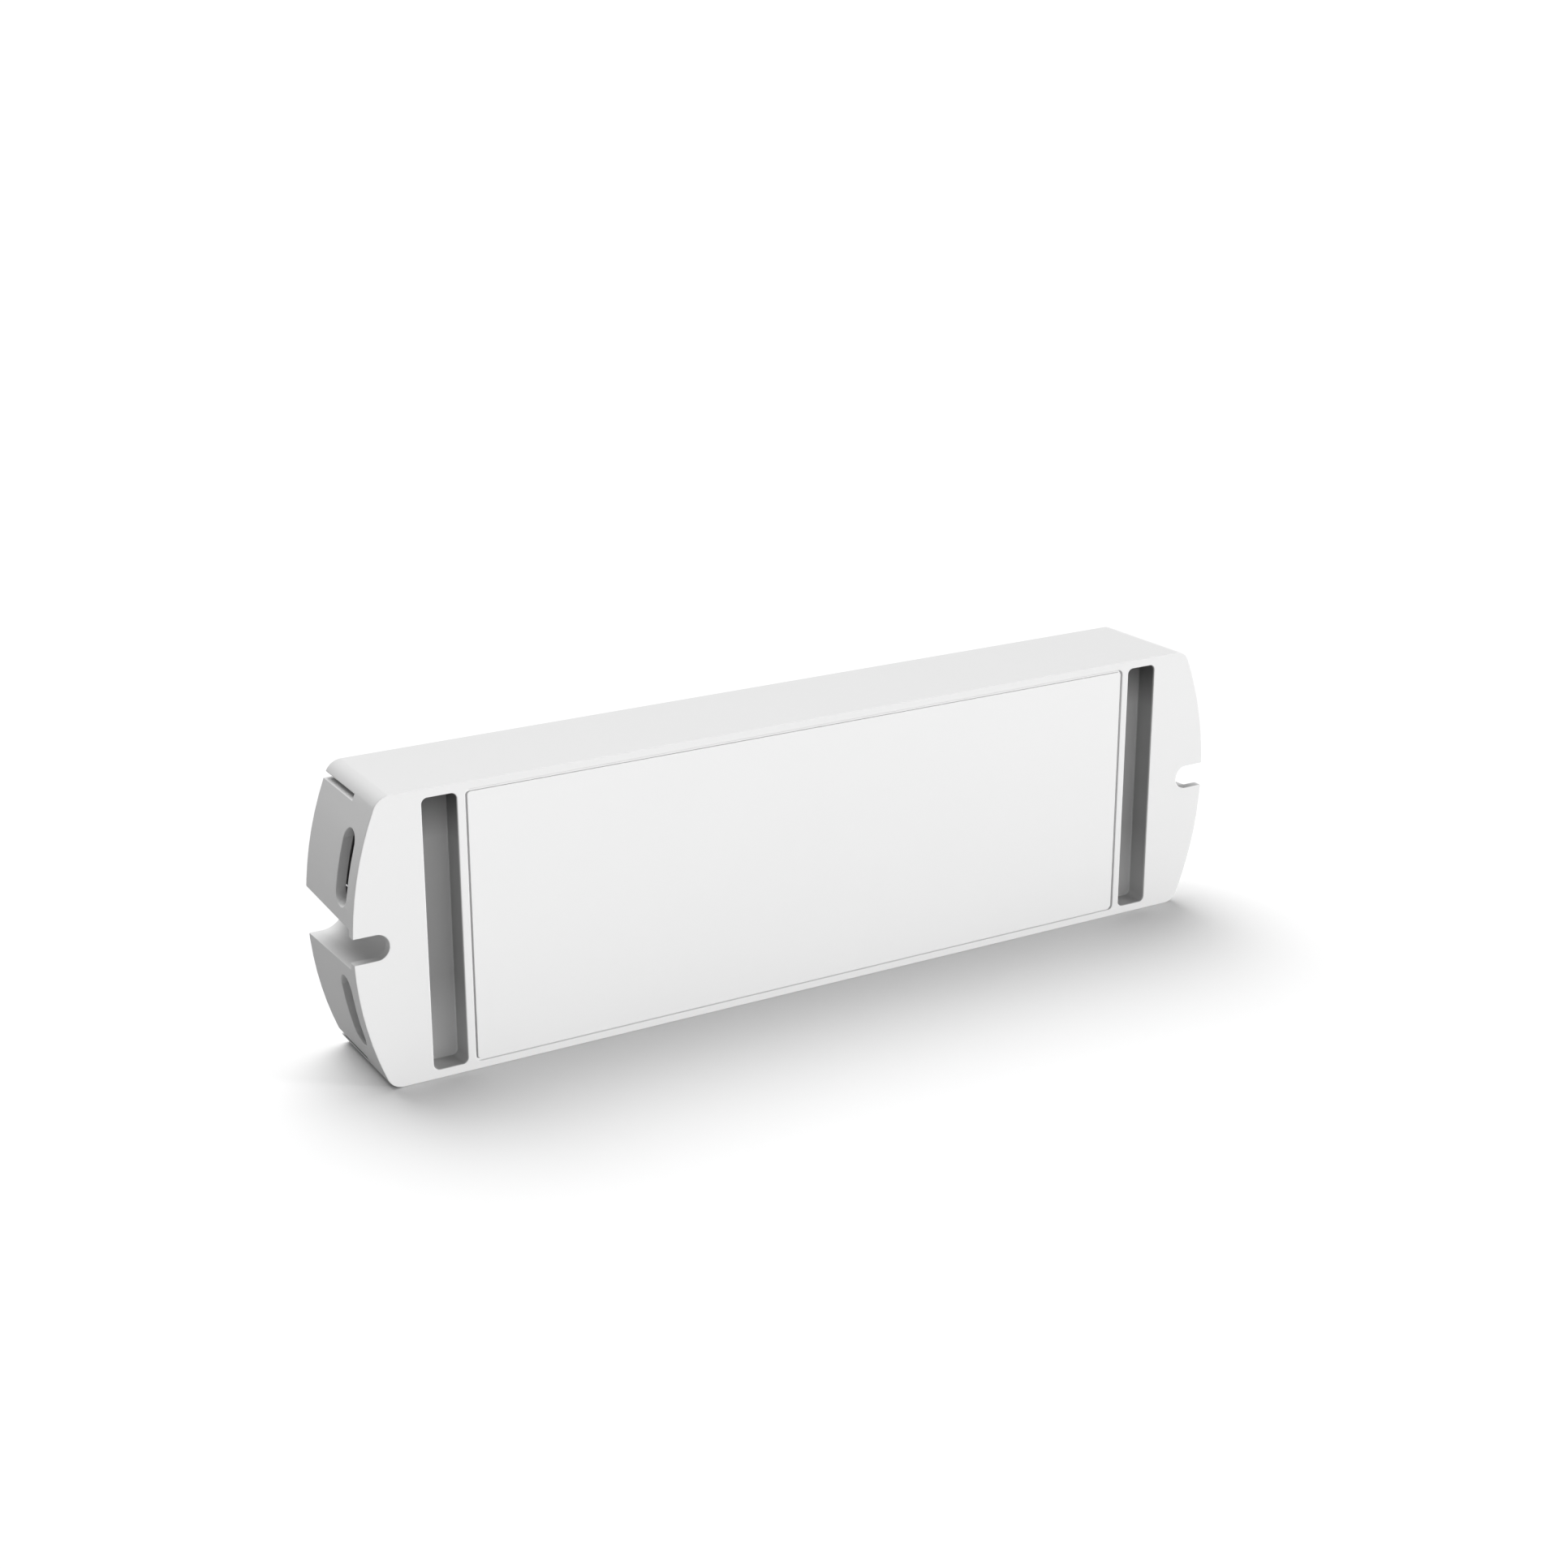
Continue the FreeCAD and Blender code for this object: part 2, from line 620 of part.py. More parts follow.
def on_board(x, offset, size, lift=0.0):
    """Block of a size that stands on the board, with its middle at a place."""
    size_x, height, size_o = size
    return block(x - size_x / 2, x + size_x / 2, BOARD_BACK + lift, BOARD_BACK + height,
                 offset - size_o / 2, offset + size_o / 2)


def back_edges(shape, height):
    """Edges of a shape on the board that lie above half its height."""
    return [edge for edge in shape.Edges if edge.BoundBox.YMin > at(BOARD_BACK + height / 2)]


def upright_edges(shape, height):
    """Edges of a shape on the board that run through the depth."""
    return [edge for edge in shape.Edges if edge.BoundBox.YLength > height / 2]


def capacitor(x, offset):
    """Upright can on a square plastic foot with two cut corners."""
    foot = on_board(x, offset, CAN_FOOT)
    cut_side = [edge for edge in upright_edges(foot, CAN_FOOT[1]) if edge.BoundBox.XMin < x]
    foot = foot.makeChamfer(CAN_FOOT_CUT, cut_side)
    return join([foot, rod(CAN_R, x, offset, BOARD_BACK + CAN_FOOT[1], BOARD_BACK + CAN_H)])


def transistor(x, offset):
    """Power transistor with its cooling tab and two bent legs."""
    width, height, length = TRANSISTOR_BODY
    body = on_board(x, offset + length / 2, TRANSISTOR_BODY)
    body = body.makeChamfer(PIN_T, back_edges(body, height))
    metal = block(x - width / 2 + TAB_SIDE, x + width / 2 - TAB_SIDE, BOARD_BACK, BOARD_BACK + 2 * PIN_T,
                  offset + length / 2, offset + length + TAB_REACH)
    pieces = [body, metal]
    for side in SIDES:
        middle = x + side * width / 3
        pieces += bent_leg(middle, TAB_LEG_W, 2 * PIN_T, offset, -1, TAB_LEG_REACH, height / 2)
    return join(pieces)


def bent_leg(along, width, thickness, edge, side, reach, height, turn=False):
    """Leg that leaves a body at an edge, drops to the board and ends in a foot."""
    knee = reach / 2
    spans = (
        (-LEG_ROOT, knee, height - thickness, height),
        (knee - thickness, knee, 0, height),
        (knee - thickness, reach, 0, thickness),
    )
    return [leg_block(along, width, edge, side, turn, span) for span in spans]


def flat_leg(along, width, thickness, edge, side, reach, turn=False):
    """Leg that runs out from under a low body, flat on the board."""
    return leg_block(along, width, edge, side, turn, (-LEG_ROOT, reach, 0, thickness))


def leg_block(along, width, edge, side, turn, span):
    """One straight stretch of a leg, from a span of reach and height."""
    near, far, low, high = span
    ends = sorted((edge + side * near, edge + side * far))
    sides = (along - width / 2, along + width / 2)
    xs, offsets = (ends, sides) if turn else (sides, ends)
    return block(*xs, BOARD_BACK + low, BOARD_BACK + high, *offsets)


def chip(x, offset, size, pitch, legs):
    """Chip with bent legs on its two long sides."""
    _, height, size_o = size
    body = on_board(x, offset, size, CHIP_LIFT)
    pieces = [body.makeChamfer(PIN_T, back_edges(body, height))]
    for side in SIDES:
        for index in range(legs):
            along = x + (index - (legs - 1) / 2) * pitch
            edge = offset + side * size_o / 2
            pieces += bent_leg(along, pitch / 3, PIN_T, edge, side, CHIP_LEG_REACH, height / 2)
    return join(pieces)


def controller():
    """Square chip with a row of flat legs on all four sides."""
    size_x, height, size_o = CONTROLLER_BODY
    body = on_board(CONTROLLER_X, CONTROLLER_OFFSET, CONTROLLER_BODY)
    pieces = [body.makeChamfer(PIN_T, back_edges(body, height))]
    width = CONTROLLER_PITCH / 2
    for side in SIDES:
        for index in range(CONTROLLER_LEGS):
            step = (index - (CONTROLLER_LEGS - 1) / 2) * CONTROLLER_PITCH
            edge = CONTROLLER_OFFSET + side * size_o / 2
            pieces.append(flat_leg(CONTROLLER_X + step, width, PIN_T, edge, side, CHIP_LEG_REACH))
            edge = CONTROLLER_X + side * size_x / 2
            pieces.append(flat_leg(CONTROLLER_OFFSET + step, width, PIN_T, edge, side, CHIP_LEG_REACH, True))
    return join(pieces)


def inductor(x, offset):
    """Shielded power inductor: a square core with cut corners and a round sunken top."""
    size_x, height, _ = INDUCTOR_BODY
    core = on_board(x, offset, INDUCTOR_BODY)
    core = core.makeChamfer(INDUCTOR_CUT, upright_edges(core, height))
    top = BOARD_BACK + height
    return core.cut(rod(size_x / 2 - INDUCTOR_CUT / 2, x, offset, top - INDUCTOR_SINK, top + OVER))


def capped_body(x, offset, size, cap):
    """Small part with a metal cap round each end, such as a fuse or a diode."""
    size_x, height, size_o = size
    core = (size_x - cap, height - PIN_T / 2, size_o - PIN_T)
    pieces = [on_board(x, offset, core, PIN_T / 2)]
    for side in SIDES:
        pieces.append(on_board(x + side * (size_x - cap) / 2, offset, (cap, height, size_o)))
    return join(pieces)


def crystal(x, offset):
    """Low metal can with round ends."""
    size_x, height, size_o = CRYSTAL_BODY
    return rounded_block(x - size_x / 2, x + size_x / 2, BOARD_BACK, BOARD_BACK + height,
                         offset - size_o / 2, offset + size_o / 2, size_o / 2 - PIN_T)


def regulator(x, offset):
    """Linear regulator with a wide tab on one side and three legs on the other."""
    reach = REGULATOR_BODY[2] / 2 + REGULATOR_REACH
    pieces = [
        on_board(x, offset, REGULATOR_BODY, PIN_T / 2),
        block(x - REGULATOR_TAB_W / 2, x + REGULATOR_TAB_W / 2, BOARD_BACK, BOARD_BACK + PIN_T,
              offset, offset + reach),
    ]
    for index in (-1, 0, 1):
        middle = x + index * REGULATOR_PITCH
        pieces.append(block(middle - TAB_LEG_W / 2, middle + TAB_LEG_W / 2, BOARD_BACK, BOARD_BACK + PIN_T,
                            offset - reach, offset))
    return join(pieces)


def transistor_x(number):
    """Place along the case of one of the output transistors, counted from the right."""
    return BOARD_HALF - TRANSISTOR_END - number * TRANSISTOR_PITCH


def chip_resistors():
    """Small resistors: one for each transistor, and three beside the bus terminals."""
    places = [(transistor_x(number), GATE_RESISTOR_OFFSET) for number in range(TRANSISTORS)]
    places += [(BUS_RESISTOR_END - BOARD_HALF, index * BUS_RESISTOR_PITCH) for index in (-1, 0, 1)]
    return [capped_body(x, offset, RESISTOR_BODY, RESISTOR_CAP) for x, offset in places]


def export(name, shape):
    """Write one node, a solid or a group of solids, and print its size."""
    if isinstance(shape, list):
        shape = Part.makeCompound(shape)
    elif len(shape.Solids) == 1:
        shape = shape.Solids[0]
    shape.exportStep(f"parts/{name}.step")
    box = shape.BoundBox
    print(f"{name}: {len(shape.Solids)} solid, {box.XLength:.2f} x {box.YLength:.2f} x {box.ZLength:.2f} mm,"
          f" valid {shape.isValid()}")


def export_case():
    export("housing_tub", housing_tub())
    export("face_label", face_label())
    export("centre_cover", centre_cover())
    cover = wiring_cover()
    export("wiring_cover_right", cover)
    export("wiring_cover_left", mirrored(cover))
    export("cover_screws", cover_screws())


def export_terminals():
    cages, screws = [], []
    for name, end, poles, middle in terminals():
        export(name, terminal_body(end, poles, middle))
        for offset in pole_offsets(poles, middle):
            cages.append(wire_cage(end, offset))
            screws.append(terminal_screw(end, offset))
    export("wire_cages", cages)
    export("terminal_screws", screws)


def export_power_parts():
    """Right half of the board: the supply and the four output channels."""
    lower = LOWER_ROW - BOARD_OFFSET
    for number in range(CANS):
        x = BOARD_HALF - CAPACITOR_END - number * CAPACITOR_PITCH
        export(f"input_capacitor_{number + 1}", capacitor(x, lower))
    for number in range(TRANSISTORS):
        body = transistor(transistor_x(number), BOARD_OFFSET - TRANSISTOR_ROW)
        export(f"output_transistor_{number + 1}", body)
    export("input_fuse", capped_body(BOARD_HALF - FUSE_END, FUSE_OFFSET, FUSE_BODY, FUSE_CAP))
    export("input_diode", capped_body(BOARD_HALF - DIODE_END, lower, DIODE_BODY, DIODE_CAP))
    x = BOARD_HALF - DRIVER_END
    export("gate_driver", chip(x, DRIVER_OFFSET, SMALL_BODY, SMALL_PITCH, SMALL_LEGS))
    export("power_inductor", inductor(BOARD_HALF - INDUCTOR_END, lower))
    export("voltage_regulator", regulator(BOARD_HALF - REGULATOR_END, lower))
    light = capped_body(BOARD_HALF - LIGHT_END, BOARD_OFFSET - LIGHT_ROW, LIGHT_BODY, RESISTOR_CAP)
    export("status_light", light)


def export_data_parts():
    """Left half of the board: the isolated bus input and the controller."""
    export("microcontroller", controller())
    export("clock_crystal", crystal(CRYSTAL_END - BOARD_HALF, CRYSTAL_OFFSET))
    x = TRANSCEIVER_END - BOARD_HALF
    export("bus_transceiver", chip(x, TRANSCEIVER_OFFSET, SMALL_BODY, SMALL_PITCH, SMALL_LEGS))
    for number in range(OPTOS):
        x = OPTO_END - BOARD_HALF + number * OPTO_STEP
        body = chip(x, BOARD_OFFSET - OPTO_ROW, OPTO_BODY, OPTO_PITCH, OPTO_LEGS)
        export(f"data_optocoupler_{number + 1}", body)
    export("chip_resistors", chip_resistors())


def build():
    os.makedirs("parts", exist_ok=True)
    export_case()
    export("circuit_board", circuit_board())
    export("board_screws", board_screws())
    export_terminals()
    export_power_parts()
    export_data_parts()


build()
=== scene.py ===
# %% [markdown]
# # A slim lighting decoder in a white moulded case
#
# The case stands on one long side, with its flat mounting face towards us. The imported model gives
# every part at its real size, so this lesson adds what a drawing lacks: soft moulded edges, the finish
# of each material, copper tracks, threads, and the light of a pale studio. The scene is in metres, and
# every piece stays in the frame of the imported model.

# %% Load the fixed frame
import bpy
import json
import math
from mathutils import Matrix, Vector

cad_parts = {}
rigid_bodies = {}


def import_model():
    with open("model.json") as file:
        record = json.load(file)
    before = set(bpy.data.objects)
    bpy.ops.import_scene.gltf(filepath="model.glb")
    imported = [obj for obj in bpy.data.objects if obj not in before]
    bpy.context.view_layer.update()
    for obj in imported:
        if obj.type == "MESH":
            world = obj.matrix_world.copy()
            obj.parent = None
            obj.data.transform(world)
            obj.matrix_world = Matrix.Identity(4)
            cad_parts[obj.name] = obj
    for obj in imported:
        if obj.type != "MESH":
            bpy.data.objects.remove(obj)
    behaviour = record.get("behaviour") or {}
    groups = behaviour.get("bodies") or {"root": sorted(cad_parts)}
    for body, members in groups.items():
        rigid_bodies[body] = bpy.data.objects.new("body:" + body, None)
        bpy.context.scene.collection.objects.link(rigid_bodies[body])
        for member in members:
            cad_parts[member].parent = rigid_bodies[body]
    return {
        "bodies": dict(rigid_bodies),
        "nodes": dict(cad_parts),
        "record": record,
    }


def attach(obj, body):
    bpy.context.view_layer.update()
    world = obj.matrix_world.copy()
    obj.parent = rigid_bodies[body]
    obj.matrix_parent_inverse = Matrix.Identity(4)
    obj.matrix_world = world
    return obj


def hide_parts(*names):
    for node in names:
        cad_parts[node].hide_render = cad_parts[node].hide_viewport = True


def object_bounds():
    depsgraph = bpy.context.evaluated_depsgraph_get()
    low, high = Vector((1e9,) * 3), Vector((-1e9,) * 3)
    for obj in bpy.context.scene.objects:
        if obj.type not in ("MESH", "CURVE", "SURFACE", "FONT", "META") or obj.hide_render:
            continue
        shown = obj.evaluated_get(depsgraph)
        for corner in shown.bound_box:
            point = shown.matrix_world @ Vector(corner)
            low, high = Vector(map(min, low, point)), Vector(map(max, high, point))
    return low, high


MM = 0.001
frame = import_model()
cad_low, cad_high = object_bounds()
nodes = frame["nodes"]
BODY = next(iter(frame["bodies"]))


def in_mm(vector):
    """Millimetres of a vector, rounded to be read."""
    return [round(v / MM, 2) for v in vector]


print("nodes:", len(nodes), "body:", BODY)
print("packed size in mm:", in_mm(cad_high - cad_low))

# %% [markdown]
# ## The camera
#
# A product photo is read back into a camera by matching straight edges: the label outline, the two
# pockets and the long sides fix the turn, the height and the distance. The camera could be turned by
# hand until it looks right, but named angles and one target point are easier to check, so that is the
# way here.

# %% Place the camera
CAMERA_TURN = math.radians(-31.036)
CAMERA_RISE = math.radians(18.877)
CAMERA_DISTANCE = 431.76 * MM
CAMERA_TARGET = Vector((-6.929 * MM, cad_low.y, 39.256 * MM))
CAMERA_LENS = 58.03
CAMERA_CLIP = (0.01, 20.0)


def direction(turn, rise):
    """Way from the case to a camera or a lamp, from a turn off the front and a rise."""
    return Vector((
        math.sin(turn) * math.cos(rise),
        -math.cos(turn) * math.cos(rise),
        math.sin(rise),
    ))


def place_aimed(name, data, back):
    """Put a camera or a lamp in the scene, with its back turned to a direction."""
    placed = bpy.data.objects.new(name, data)
    bpy.context.scene.collection.objects.link(placed)
    placed.rotation_euler = (-back).to_track_quat("-Z", "Y").to_euler()
    return placed


def make_camera():
    """Camera that looks at the target from the photo's side and height."""
    back = direction(CAMERA_TURN, CAMERA_RISE)
    data = bpy.data.cameras.new("studio_camera")
    data.lens = CAMERA_LENS
    data.clip_start, data.clip_end = CAMERA_CLIP
    camera = place_aimed("studio_camera", data, back)
    camera.location = CAMERA_TARGET + back * CAMERA_DISTANCE
    bpy.context.scene.camera = camera
    return camera


camera = make_camera()
print("camera stands, in mm, at", in_mm(camera.location))

# %% [markdown]
# ## Working by hand in code
#
# Operators act on whatever is selected, and the loaded parts all are. So each step first clears the
# selection, then picks its own object. These helpers keep that in one place.

# %% Helpers for selection and edit mode


def only(*pieces):
    """Select some objects, and make the last of them active."""
    bpy.ops.object.select_all(action="DESELECT")
    for piece in pieces:
        piece.select_set(True)
    bpy.context.view_layer.objects.active = pieces[-1]


def settle(piece):
    """Put the place, turn and size of an object into its mesh."""
    only(piece)
    bpy.ops.object.transform_apply(location=True, rotation=True, scale=True)


def apply_all(piece):
    """Make every modifier of a piece part of its mesh."""
    only(piece)
    for modifier in list(piece.modifiers):
        bpy.ops.object.modifier_apply(modifier=modifier.name)


def merge_all(pieces, name):
    """Join pieces into one object with its place in its mesh."""
    only(*pieces)
    bpy.ops.object.join()
    piece = bpy.context.object
    piece.name = name
    settle(piece)
    return piece


def count(piece):
    """Number of faces of a piece."""
    return len(piece.data.polygons)


bpy.ops.object.select_all(action="DESELECT")
print("selected now:", len(bpy.context.selected_objects))

# %% [markdown]
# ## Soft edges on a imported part
#
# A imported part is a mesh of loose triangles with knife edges. A remesh would round it and also blur its
# flat faces. So a copy is merged, its flat faces are made whole, and a bevel rounds only the edges that
# are sharp. Weighted normals then keep each flat face flat in the light. The copy rides on the body in
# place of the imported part, and takes its finish from the same slot.

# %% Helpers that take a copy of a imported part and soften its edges
CREASE = math.radians(32)
FLAT = math.radians(0.4)
WELD = 0.04 * MM
FULL_WEIGHT = 100
SPLIT_FROM = 5
SOFT_STEPS = 2
slots = {row["node"]: row["material_slot"] for row in frame["record"]["subparts"]}


def copy_of(node, name):
    """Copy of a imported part, with its loose triangles merged and its flat faces made whole."""
    only(nodes[node])
    bpy.ops.object.duplicate()
    piece = bpy.context.object
    piece.name = name
    for key in list(piece.keys()):
        del piece[key]
    bpy.ops.mesh.customdata_custom_splitnormals_clear()
    bpy.ops.object.mode_set(mode="EDIT")
    bpy.ops.mesh.select_all(action="SELECT")
    bpy.ops.mesh.remove_doubles(threshold=WELD)
    bpy.ops.mesh.dissolve_limited(angle_limit=FLAT)
    bpy.ops.object.mode_set(mode="OBJECT")
    return piece


def soften(piece, width):
    """Round every sharp edge by a width, then shade the round stretches smooth."""
    bevel = piece.modifiers.new("soft_edges", "BEVEL")
    bevel.width = width
    bevel.segments = SOFT_STEPS
    bevel.use_clamp_overlap = False
    bevel.limit_method = "ANGLE"
    bevel.angle_limit = CREASE
    bevel.face_strength_mode = "FSTR_ALL"
    apply_all(piece)
    bpy.ops.object.shade_smooth_by_angle(angle=CREASE)
    weigh = piece.modifiers.new("flat_faces_stay_flat", "WEIGHTED_NORMAL")
    weigh.weight = FULL_WEIGHT
    weigh.keep_sharp = True
    weigh.use_face_influence = True
    split = piece.modifiers.new("even_triangles", "TRIANGULATE")
    split.min_vertices = SPLIT_FROM
    split.ngon_method = "BEAUTY"
    split.keep_custom_normals = True
    apply_all(piece)


def stand_for(piece, *replaced):
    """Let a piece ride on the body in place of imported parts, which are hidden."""
    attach(piece, BODY)
    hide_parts(*replaced)


print("parts in the record:", len(slots))

# %% [markdown]
# ## Working with nodes in code
#
# Nodes could be placed and wired by hand in the node editor. In code each one takes the same few lines,
# so short helpers place a node, feed its inputs and hand on its output.

# %% Helpers that place and feed nodes


def feed(tree, source, target):
    """Link a socket to an input, or set the input where the source is a plain value."""
    if isinstance(source, bpy.types.NodeSocket):
        tree.links.new(source, target)
    else:
        target.default_value = source


def fade(tree, value, start, end, low, high):
    """Node that turns a value between two places into a share between two ends."""
    node = tree.nodes.new("ShaderNodeMapRange")
    labels = ("Value", "From Min", "From Max", "To Min", "To Max")
    for label, source in zip(labels, (value, start, end, low, high)):
        feed(tree, source, node.inputs[label])
    return node.outputs["Result"]


print("materials so far:", len(bpy.data.materials))

# %% [markdown]
# ## The floor
#
# The photo has a white studio without a horizon. A curved backdrop would do, but the camera looks down
# enough that a very large floor fills the whole picture, and a flat floor keeps the light even.
#
# A white floor and a white sky would also fill every shade. The Light Path node tells what kind of ray
# asks, so the camera sees both as white, while the case gets only a weak, even light from them.

# %% Make the floor
FLOOR_SIZE = 30.0
FLOOR_SEEN = 0.83
FLOOR_BOUNCE = 0.5
FLOOR_ROUGH = 0.9
FLOOR_GLOSS = 0.1


def choose_by_ray(tree, lit, seen, target):
    """Feed an input one value for the rays of light, and another for the rays of the camera."""
    path = tree.nodes.new("ShaderNodeLightPath")
    feed(tree, fade(tree, path.outputs["Is Camera Ray"], 0.0, 1.0, lit, seen), target)


def make_floor():
    """Large flat sheet of studio paper under the case."""
    bpy.ops.mesh.primitive_plane_add(size=FLOOR_SIZE, location=(0.0, 0.0, cad_low.z))
    floor = bpy.context.object
    floor.name = "studio_floor"
    paper = bpy.data.materials.new("studio_paper")
    paper.use_nodes = True
    shader = paper.node_tree.nodes["Principled BSDF"]
    choose_by_ray(paper.node_tree, FLOOR_BOUNCE, FLOOR_SEEN, shader.inputs["Base Color"])
    shader.inputs["Roughness"].default_value = FLOOR_ROUGH
    shader.inputs["Specular IOR Level"].default_value = FLOOR_GLOSS
    floor.data.materials.append(paper)
    return floor


floor = make_floor()
print(floor.name, "is", FLOOR_SIZE, "m across")

# %% [markdown]
# ## The light
#
# In the photo one soft shadow gathers in front of the case. Area lamps would do, but parallel lamps light
# the whole case alike, and a wide disc makes them soft. One stands above and a little behind, so the
# shadow falls to the front. The other is low at the front right, so it lights the face at a slant and
# leaves the left end grey.

# %% Set the sky and the lamps
SKY_STRENGTH = 0.30
SKY_SEEN = 1.05
SUNS = (
    ("lamp_above", 176.0, 60.0, 56.0, 3.3),
    ("lamp_right", 48.0, 2.0, 10.0, 5.4),
)


def make_sky():
    """Even white sky that looks brighter than it lights."""
    world = bpy.data.worlds.new("studio_sky")
    world.use_nodes = True
    sky = world.node_tree.nodes["Background"]
    sky.inputs["Color"].default_value = (1.0, 1.0, 1.0, 1.0)
    choose_by_ray(world.node_tree, SKY_STRENGTH, SKY_SEEN, sky.inputs["Strength"])
    bpy.context.scene.world = world


def make_sun(name, turn, rise, disc, strength):
    """Parallel lamp from a turn off the front, a rise and the width of its disc, all in degrees."""
    data = bpy.data.lights.new(name, "SUN")
    data.angle = math.radians(disc)
    data.energy = strength
    return place_aimed(name, data, direction(math.radians(turn), math.radians(rise)))


make_sky()
for sun in SUNS:
    lamp = make_sun(*sun)
    print(lamp.name, "gives", round(lamp.data.energy, 2), "W per square metre")
bpy.context.scene.view_settings.view_transform = "Standard"

# %% [markdown]
# ## Effects that finishes share
#
# An effect that more than one finish may use could be wired anew in each material, but then each change
# has to be made in all of them. So it becomes a node group with named sockets, and a material places it
# with its own values.

# %% Helpers that reckon with tones and start a group


def reckon(tree, operation, *values):
    """Math node on one, two or three values."""
    node = tree.nodes.new("ShaderNodeMath")
    node.operation = operation
    for value, target in zip(values, node.inputs):
        feed(tree, value, target)
    return node.outputs[0]


def scale_tone(tree, tone, share):
    """Node that makes a tone lighter or darker by a share."""
    node = tree.nodes.new("ShaderNodeVectorMath")
    node.operation = "SCALE"
    feed(tree, tone, node.inputs[0])
    feed(tree, share, node.inputs["Scale"])
    return node.outputs[0]


def start_group(name, given, made):
    """Empty group with named inputs, each with a first value, and named outputs, each of one kind."""
    group = bpy.data.node_groups.new(name, "ShaderNodeTree")
    for label, value in given.items():
        kind = "NodeSocketFloat" if isinstance(value, float) else "NodeSocketColor"
        socket = group.interface.new_socket(name=label, in_out="INPUT", socket_type=kind)
        socket.default_value = value
    for label, kind in made.items():
        group.interface.new_socket(name=label, in_out="OUTPUT", socket_type=kind)
    inputs, outputs = group.nodes.new("NodeGroupInput"), group.nodes.new("NodeGroupOutput")
    return group, inputs.outputs, outputs.inputs


print("node groups so far:", len(bpy.data.node_groups))

# %% [markdown]
# ## A shared grain for moulded plastic
#
# A mould is spark-eroded, and the plastic copies its fine pits. That could be modelled, but the pits are
# a few hundredths of a millimetre, so a node group makes them from noise. It has inputs for the size of
# the grain, its depth and how much the tone drifts, and each material places it with its own values.

# %% Build the grain group
PALE = (0.8, 0.8, 0.8, 1.0)
FINE_DETAIL = 3.0
BROAD_SCALE = 45.0
BROAD_DETAIL = 2.0
NOISE_MIDDLE = 0.5
PIT_DEPTH = 0.1 * MM
ROUGH_DRIFT = 0.08


def make_noise(tree, place, scale, detail):
    """Noise between zero and one, from its scale and its detail."""
    node = tree.nodes.new("ShaderNodeTexNoise")
    feed(tree, place, node.inputs["Vector"])
    feed(tree, scale, node.inputs["Scale"])
    feed(tree, detail, node.inputs["Detail"])
    return node.outputs["Fac"]


def make_grain_group():
    """Group that puts out a tone, a roughness and a bumped normal from layered noise."""
    group, given, made = start_group("moulded_grain", {
        "Base": PALE,
        "Grain Scale": 4000.0,
        "Grain Depth": 0.1,
        "Tone Drift": 0.02,
        "Rough": 0.5,
        "Rough Drift": ROUGH_DRIFT,
    }, {
        "Color": "NodeSocketColor",
        "Roughness": "NodeSocketFloat",
        "Normal": "NodeSocketVector",
    })
    place = group.nodes.new("ShaderNodeTexCoord").outputs["Object"]
    fine = make_noise(group, place, given["Grain Scale"], FINE_DETAIL)
    broad = make_noise(group, place, BROAD_SCALE, BROAD_DETAIL)
    bump = group.nodes.new("ShaderNodeBump")
    feed(group, PIT_DEPTH, bump.inputs["Distance"])
    feed(group, given["Grain Depth"], bump.inputs["Strength"])
    feed(group, fine, bump.inputs["Height"])
    broad_drift = reckon(group, "SUBTRACT", broad, NOISE_MIDDLE)
    share = reckon(group, "MULTIPLY_ADD", broad_drift, given["Tone Drift"], 1.0)
    fine_drift = reckon(group, "SUBTRACT", fine, NOISE_MIDDLE)
    rough = reckon(group, "MULTIPLY_ADD", fine_drift, given["Rough Drift"], given["Rough"])
    feed(group, scale_tone(group, given["Base"], share), made["Color"])
    feed(group, rough, made["Roughness"])
    feed(group, bump.outputs["Normal"], made["Normal"])
    return group


grain_group = make_grain_group()
print("grain group sockets:", len(grain_group.interface.items_tree))

# %% [markdown]
# ## Painted shade in the pockets
#
# In the photo the two long pockets are an even grey, their walls are darker than their floors, and the
# wall at the top is darkest of all. Lamps alone leave the walls too light, and darker lamps would also
# darken the face. So a second group paints this shade into the colour. It reads where a spot lies in the
# case and darkens the tone below the face and between the ends of the pockets, less on the floor than on
# the walls, least near the foot and most at the top.

# %% Build the group that paints shade into the pockets
FACE_Y = -10.75 * MM
POCKET_FLOOR_Y = -6.25 * MM
POCKET_NEAR_X = 67.2 * MM
POCKET_FAR_X = 73.25 * MM
POCKET_LOW_Z = 1.55 * MM
POCKET_HIGH_Z = 48.45 * MM
POCKET_EDGE = 0.4 * MM
FOOT = (1.5 * MM, 16.0 * MM)
TOP = (40.0 * MM, 47.0 * MM)


